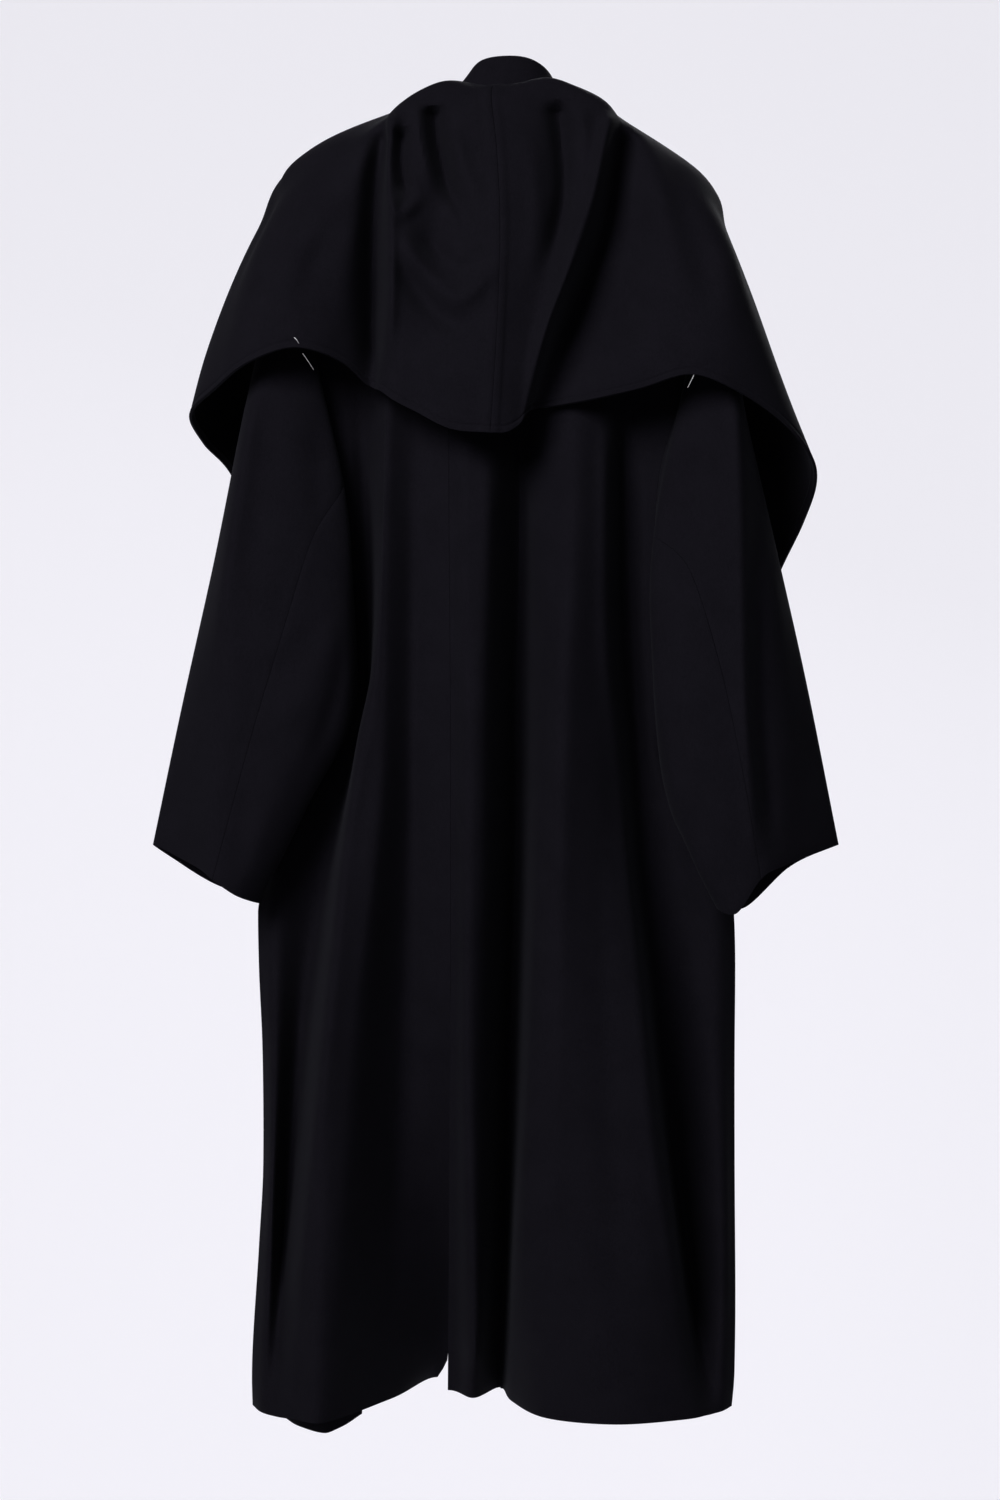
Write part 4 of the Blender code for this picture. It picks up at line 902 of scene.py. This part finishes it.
def creased(grid, table, side, middle):
    """A grid moved along Y by the creases of a table, on the side of a garment that faces that way."""
    at = seen(grid)
    turn = smooth_step(side * (grid[..., 1] - middle(grid)), -TURN, TURN)
    rise = np.zeros(grid.shape[:-1])
    for _, width, height, ends, line in table:
        rise += height * crease(at, line, width, ends)
    moved = grid.copy()
    moved[..., 1] += side * rise * turn
    return moved


def relaxed(grid, rounds):
    """A grid with the kinks at its fold lines eased, its edges left as they are."""
    grid = grid.copy()
    for _ in range(rounds):
        mean = (grid[:-2, 1:-1] + grid[2:, 1:-1] + grid[1:-1, :-2] + grid[1:-1, 2:]) / 4
        grid[1:-1, 1:-1] += (mean - grid[1:-1, 1:-1]) * EASE
    return grid


def edge_lines(grid, distances, dropped):
    """A grid with columns added at distances from its last column, in the place of the dropped ones."""
    back = grid[:, ::-1]
    step = np.linalg.norm(np.diff(back, axis=1), axis=2)
    length = np.concatenate([np.zeros((len(grid), 1)), np.cumsum(step, axis=1)], axis=1)
    added = np.empty((len(grid), len(distances), 3))
    for row in range(len(grid)):
        for k in range(3):
            added[row, :, k] = np.interp(distances, length[row], back[row, :, k])
    return np.concatenate([back[:, :1], added, back[:, dropped + 1:]], axis=1)[:, ::-1]


def stitched(grid, normal, depth, inset, width):
    """A grid with the groove that a row of hidden stitches pulls in beside its last column."""
    step = np.linalg.norm(np.diff(grid[:, ::-1], axis=1), axis=2)
    length = np.concatenate([np.zeros((len(grid), 1)), np.cumsum(step, axis=1)], axis=1)[:, ::-1]
    return grid - normal * (depth * np.exp(-(((length - inset) / width) ** 2)))[..., None]


def welt(grid, normal):
    """The raised seam down the middle of the scarf's back, beside its first row."""
    step = np.linalg.norm(np.diff(grid, axis=0), axis=2)
    length = np.concatenate([np.zeros((1, grid.shape[1])), np.cumsum(step, axis=0)], axis=0)
    raised = WELT_HEIGHT * (1 - smooth_step(length, WELT_WIDTH - WELT_SLOPE, WELT_WIDTH + WELT_SLOPE))
    groove = STITCH_DEPTH * np.exp(-((length / STITCH_WIDTH) ** 2))
    fade = smooth_step(np.arange(grid.shape[1]) / (grid.shape[1] - 1), *WELT_FADE)
    return grid + normal * ((raised - groove) * fade)[..., None]


def wool(name, seed):
    """Nearly black double-faced wool: a short nap over a felted twill, faintly mottled."""
    material = bpy.data.materials.new(name)
    material.use_nodes = True
    nodes, links = material.node_tree.nodes, material.node_tree.links
    shader = nodes["Principled BSDF"]
    shader.inputs["Roughness"].default_value = WOOL_ROUGHNESS
    shader.inputs["Metallic"].default_value = 0.0
    shader.inputs["Specular IOR Level"].default_value = WOOL_SPECULAR
    shader.inputs["Sheen Weight"].default_value = SHEEN
    shader.inputs["Sheen Roughness"].default_value = SHEEN_ROUGHNESS
    shader.inputs["Sheen Tint"].default_value = SHEEN_TINT
    place = nodes.new("ShaderNodeTexCoord")

    def noise(kind, offset):
        node = nodes.new("ShaderNodeTexNoise")
        node.inputs["Scale"].default_value = kind[0]
        node.inputs["Detail"].default_value = kind[1]
        node.inputs["Roughness"].default_value = NOISE_ROUGHNESS
        shift = nodes.new("ShaderNodeMapping")
        shift.inputs["Location"].default_value = [offset * share for share in SHIFT_TURN]
        links.new(place.outputs["Object"], shift.inputs["Vector"])
        links.new(shift.outputs["Vector"], node.inputs["Vector"])
        return node

    cloud, fibre, nap = (noise(kind, seed + shift) for kind, shift in zip((CLOUD, FIBRE, NAP), SHIFTS))
    tone = nodes.new("ShaderNodeValToRGB")
    tone.color_ramp.elements[0].position = TONE_FROM
    tone.color_ramp.elements[0].color = WOOL_DARK
    tone.color_ramp.elements[1].position = TONE_TO
    tone.color_ramp.elements[1].color = WOOL_LIGHT
    mixed = nodes.new("ShaderNodeMath")
    mixed.operation = "MULTIPLY_ADD"
    mixed.inputs[1].default_value = FIBRE_SHARE
    links.new(fibre.outputs["Fac"], mixed.inputs[0])
    rest = nodes.new("ShaderNodeMath")
    rest.operation = "MULTIPLY"
    rest.inputs[1].default_value = 1 - FIBRE_SHARE
    links.new(cloud.outputs["Fac"], rest.inputs[0])
    links.new(rest.outputs["Value"], mixed.inputs[2])
    links.new(mixed.outputs["Value"], tone.inputs["Fac"])
    links.new(tone.outputs["Color"], shader.inputs["Base Color"])

    twill = nodes.new("ShaderNodeTexWave")
    twill.wave_type = "BANDS"
    twill.bands_direction = "DIAGONAL"
    twill.inputs["Scale"].default_value = TWILL_SCALE
    twill.inputs["Distortion"].default_value = TWILL_DISTORTION
    twill.inputs["Detail"].default_value = TWILL_DETAIL
    twill.inputs["Detail Scale"].default_value = TWILL_DETAIL
    links.new(place.outputs["Object"], twill.inputs["Vector"])
    total = nodes.new("ShaderNodeMath")
    total.operation = "MULTIPLY_ADD"
    total.inputs[1].default_value = TWILL_RELIEF
    links.new(twill.outputs["Fac"], total.inputs[0])
    links.new(nap.outputs["Fac"], total.inputs[2])
    both = nodes.new("ShaderNodeMath")
    both.operation = "MULTIPLY_ADD"
    both.inputs[1].default_value = FIBRE_RELIEF
    links.new(fibre.outputs["Fac"], both.inputs[0])
    links.new(total.outputs["Value"], both.inputs[2])
    bump = nodes.new("ShaderNodeBump")
    bump.inputs["Strength"].default_value = RELIEF_STRENGTH
    bump.inputs["Distance"].default_value = RELIEF_DEPTH
    links.new(both.outputs["Value"], bump.inputs["Height"])
    links.new(bump.outputs["Normal"], shader.inputs["Normal"])
    return material


def thread():
    """The pale cotton of the tacks."""
    material = bpy.data.materials.new("tack_thread")
    material.use_nodes = True
    nodes, links = material.node_tree.nodes, material.node_tree.links
    shader = nodes["Principled BSDF"]
    shader.inputs["Roughness"].default_value = THREAD_ROUGHNESS
    twist = nodes.new("ShaderNodeTexNoise")
    twist.inputs["Scale"].default_value = THREAD_TWIST
    tone = nodes.new("ShaderNodeValToRGB")
    tone.color_ramp.elements[0].color = THREAD_DARK
    tone.color_ramp.elements[1].color = THREAD_LIGHT
    links.new(twist.outputs["Fac"], tone.inputs["Fac"])
    links.new(tone.outputs["Color"], shader.inputs["Base Color"])
    return material


def plain(name, colour, roughness, glow):
    """A plain surface of the stage, very slightly uneven, lit by the rest of the room too."""
    material = bpy.data.materials.new(name)
    material.use_nodes = True
    nodes, links = material.node_tree.nodes, material.node_tree.links
    shader = nodes["Principled BSDF"]
    shader.inputs["Roughness"].default_value = roughness
    shader.inputs["Emission Strength"].default_value = glow
    grain = nodes.new("ShaderNodeTexNoise")
    grain.inputs["Scale"].default_value = STAGE_GRAIN
    tone = nodes.new("ShaderNodeValToRGB")
    tone.color_ramp.elements[0].color = (*[c * STAGE_SHADE for c in colour], 1.0)
    tone.color_ramp.elements[1].color = (*colour, 1.0)
    links.new(grain.outputs["Fac"], tone.inputs["Fac"])
    links.new(tone.outputs["Color"], shader.inputs["Base Color"])
    links.new(tone.outputs["Color"], shader.inputs["Emission Color"])
    return material


def add_piece(name, outer, normal, flip, material):
    """One piece of cloth with rounded edges, in the place of its solid."""
    inward = relaxed(normal, INSIDE_ROUNDS)
    inward /= np.maximum(np.linalg.norm(inward, axis=2, keepdims=True), SMALL)
    vertices, faces = wall_mesh(outer, outer - inward * CLOTH, flip > 0)
    mesh = bpy.data.meshes.new(name + "_cloth")
    mesh.from_pydata(vertices, [], faces)
    mesh.validate()
    mesh.shade_smooth()
    mesh.materials.append(material)
    piece = bpy.data.objects.new(name + "_cloth", mesh)
    bpy.context.scene.collection.objects.link(piece)
    bevel = piece.modifiers.new("rounded edges", "BEVEL")
    bevel.width = SEAM_ROUND * MM
    bevel.segments = EDGE_SEGMENTS
    bevel.limit_method = "ANGLE"
    bevel.angle_limit = math.radians(BEVEL_FROM)
    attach(piece, "root")
    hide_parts(name)
    return piece


def add_tack(name, thickness, line, material):
    """A short stitch of thread."""
    curve = bpy.data.curves.new(name, "CURVE")
    curve.dimensions = "3D"
    curve.bevel_depth = thickness / 2 * MM
    curve.bevel_resolution = TACK_ROUND
    curve.use_fill_caps = True
    spline = curve.splines.new("POLY")
    points = np.array(line, float)
    steps = np.arange((len(points) - 1) * TACK_STEPS + 1) / TACK_STEPS
    smooth = spline_weights(len(points), steps) @ points * MM
    spline.points.add(len(smooth) - 1)
    for point, place in zip(spline.points, smooth):
        point.co = (*place, 1.0)
    curve.materials.append(material)
    piece = bpy.data.objects.new(name, curve)
    bpy.context.scene.collection.objects.link(piece)
    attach(piece, "root")
    return piece


def add_light(name, place, size, power, colour):
    """A soft square light that faces the coat."""
    light = bpy.data.lights.new(name, "AREA")
    light.shape = "SQUARE"
    light.size = size
    light.energy = power
    light.color = colour
    lamp = bpy.data.objects.new(name, light)
    bpy.context.scene.collection.objects.link(lamp)
    lamp.location = place
    aim = np.array(AIM) - np.array(place)
    aim = aim / np.linalg.norm(aim)
    side = np.cross(aim, (0, 0, 1))
    side = side / np.linalg.norm(side)
    up = np.cross(side, aim)
    rows = [(s, u, -a, p) for s, u, a, p in zip(side, up, aim, place)]
    lamp.matrix_world = Matrix([*rows, (0, 0, 0, 1)])
    return lamp


def add_plane(name, corners, material):
    """A flat rectangle of the stage."""
    mesh = bpy.data.meshes.new(name)
    mesh.from_pydata(corners, [], [tuple(range(len(corners)))])
    mesh.materials.append(material)
    plane = bpy.data.objects.new(name, mesh)
    bpy.context.scene.collection.objects.link(plane)
    return plane


def sleeve_middle(grid):
    """The middle depth of a sleeve at each point's height."""
    heights, depths = zip(*SLEEVE_MIDDLE)
    return np.interp(grid[..., 2], heights, depths)


def level(depth):
    """The same middle depth at every point of a piece."""
    return lambda grid: np.full(grid.shape[:-1], float(depth))


def pieces_of_cloth():
    """Every piece's outer points, its normals and the side that it turns to."""
    panels = {
        "back_left": panel(BACK_LEFT_FOLDS, LEFT_ARMHOLE, "back", True, BACK_RIGHT_FOLDS[1]),
        "back_right": panel(BACK_RIGHT_FOLDS, RIGHT_ARMHOLE, "back", False, BACK_LEFT_FOLDS[-2]),
        "front_left": panel(FRONT_LEFT_FOLDS, LEFT_ARMHOLE, "front", True),
        "front_right": panel(FRONT_RIGHT_FOLDS, RIGHT_ARMHOLE, "front", False),
    }
    coat = {
        "back_left": (creased(panels["back_left"], BACK_CREASES, -1, level(BACK_MIDDLE)), -1),
        "back_right": (creased(panels["back_right"], BACK_CREASES, -1, level(BACK_MIDDLE)), -1),
        "front_left": (creased(panels["front_left"], FRONT_CREASES, 1, level(FRONT_MIDDLE)), 1),
        "front_right": (creased(panels["front_right"], FRONT_CREASES, 1, level(FRONT_MIDDLE)), 1),
    }
    for name, table, armhole, flip, first in (
        ("sleeve_left_upper", LEFT_SLEEVE, LEFT_ARMHOLE, 1, FRONT_SEAM),
        ("sleeve_left_under", LEFT_SLEEVE, LEFT_ARMHOLE, 1, BACK_SEAM),
        ("sleeve_right_upper", RIGHT_SLEEVE, RIGHT_ARMHOLE, -1, FRONT_SEAM),
        ("sleeve_right_under", RIGHT_SLEEVE, RIGHT_ARMHOLE, -1, BACK_SEAM),
    ):
        grid = sleeve(table, armhole, first, first + LINES_BETWEEN_SEAMS)
        coat[name] = (creased(grid, SLEEVE_CREASES, -1, sleeve_middle), flip)
    band = collar(neck_line(panels))
    coat["collar"] = (band, 1)
    sewn = sew(coat)
    outer, normal = sewn["collar"]
    nape = int(np.argmin(np.linalg.norm(band[0] - np.array(BACK_LEFT_FOLDS[-1][1]), axis=1)))
    halves = {}
    for name, table, columns, flip in (
        ("scarf_left", LEFT_SCARF, slice(nape, None, -1), -1),
        ("scarf_right", RIGHT_SCARF, slice(nape, None), 1),
    ):
        grid = relaxed(scarf(table, *(seat_line(part, columns) for part in (outer, normal))), EASE_ROUNDS)
        grid = creased(grid, SCARF_CREASES, -1, level(SCARF_BACK_MIDDLE))
        grid = creased(grid, SCARF_FRONT_CREASES, 1, level(SCARF_FRONT_MIDDLE))
        halves[name] = (edge_lines(grid, EDGE_SAMPLES, EDGE_DROPPED), flip)
    for name, (grid, normal) in sew(halves).items():
        grid = welt(grid, normal)
        sewn[name] = (stitched(grid, normal, STITCH_DEPTH, STITCH_INSET, STITCH_WIDTH), normal)
    sides = {name: flip for name, (_, flip) in {**coat, **halves}.items()}
    return {name: (*sewn[name], sides[name]) for name in sewn}


def main():
    """The coat's pieces, its tacks, the stage, the lights and the camera."""
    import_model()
    camera = bpy.data.objects.new("camera", bpy.data.cameras.new("camera"))
    bpy.context.scene.collection.objects.link(camera)
    camera.data.lens = CAMERA_LENS
    camera.location = (0.0, -CAMERA_FAR * MM, CAMERA_HEIGHT * MM)
    camera.rotation_euler = (math.radians(90), 0.0, 0.0)
    bpy.context.scene.camera = camera

    for seed, (name, (outer, normal, flip)) in enumerate(pieces_of_cloth().items()):
        piece = add_piece(name, outer, normal, flip, wool(name + "_wool_cloth", seed * SEED_STEP))
    cotton = thread()
    for name, thickness, line in TACKS:
        add_tack(name, thickness, line, cotton)

    wall = plain("wall_paint", WALL_COLOUR, WALL_ROUGHNESS, WALL_GLOW)
    ground = plain("floor_paint", FLOOR_COLOUR, FLOOR_ROUGHNESS, 0.0)
    x, y, low, high = STAGE_HALF, WALL_BEHIND, FLOOR_HEIGHT, STAGE_HALF
    add_plane("backdrop", [(-x, y, low), (x, y, low), (x, y, high), (-x, y, high)], wall)
    add_plane("floor", [(-x, -x, low), (x, -x, low), (x, y, low), (-x, y, low)], ground)
    for row in LIGHTS:
        add_light(*row)
    world = bpy.data.worlds.new("studio")
    bpy.context.scene.world = world
    world.use_nodes = True
    world.node_tree.nodes["Background"].inputs["Color"].default_value = WORLD_COLOUR
    world.node_tree.nodes["Background"].inputs["Strength"].default_value = WORLD_STRENGTH
    bpy.context.scene.view_settings.view_transform = "Standard"


main()
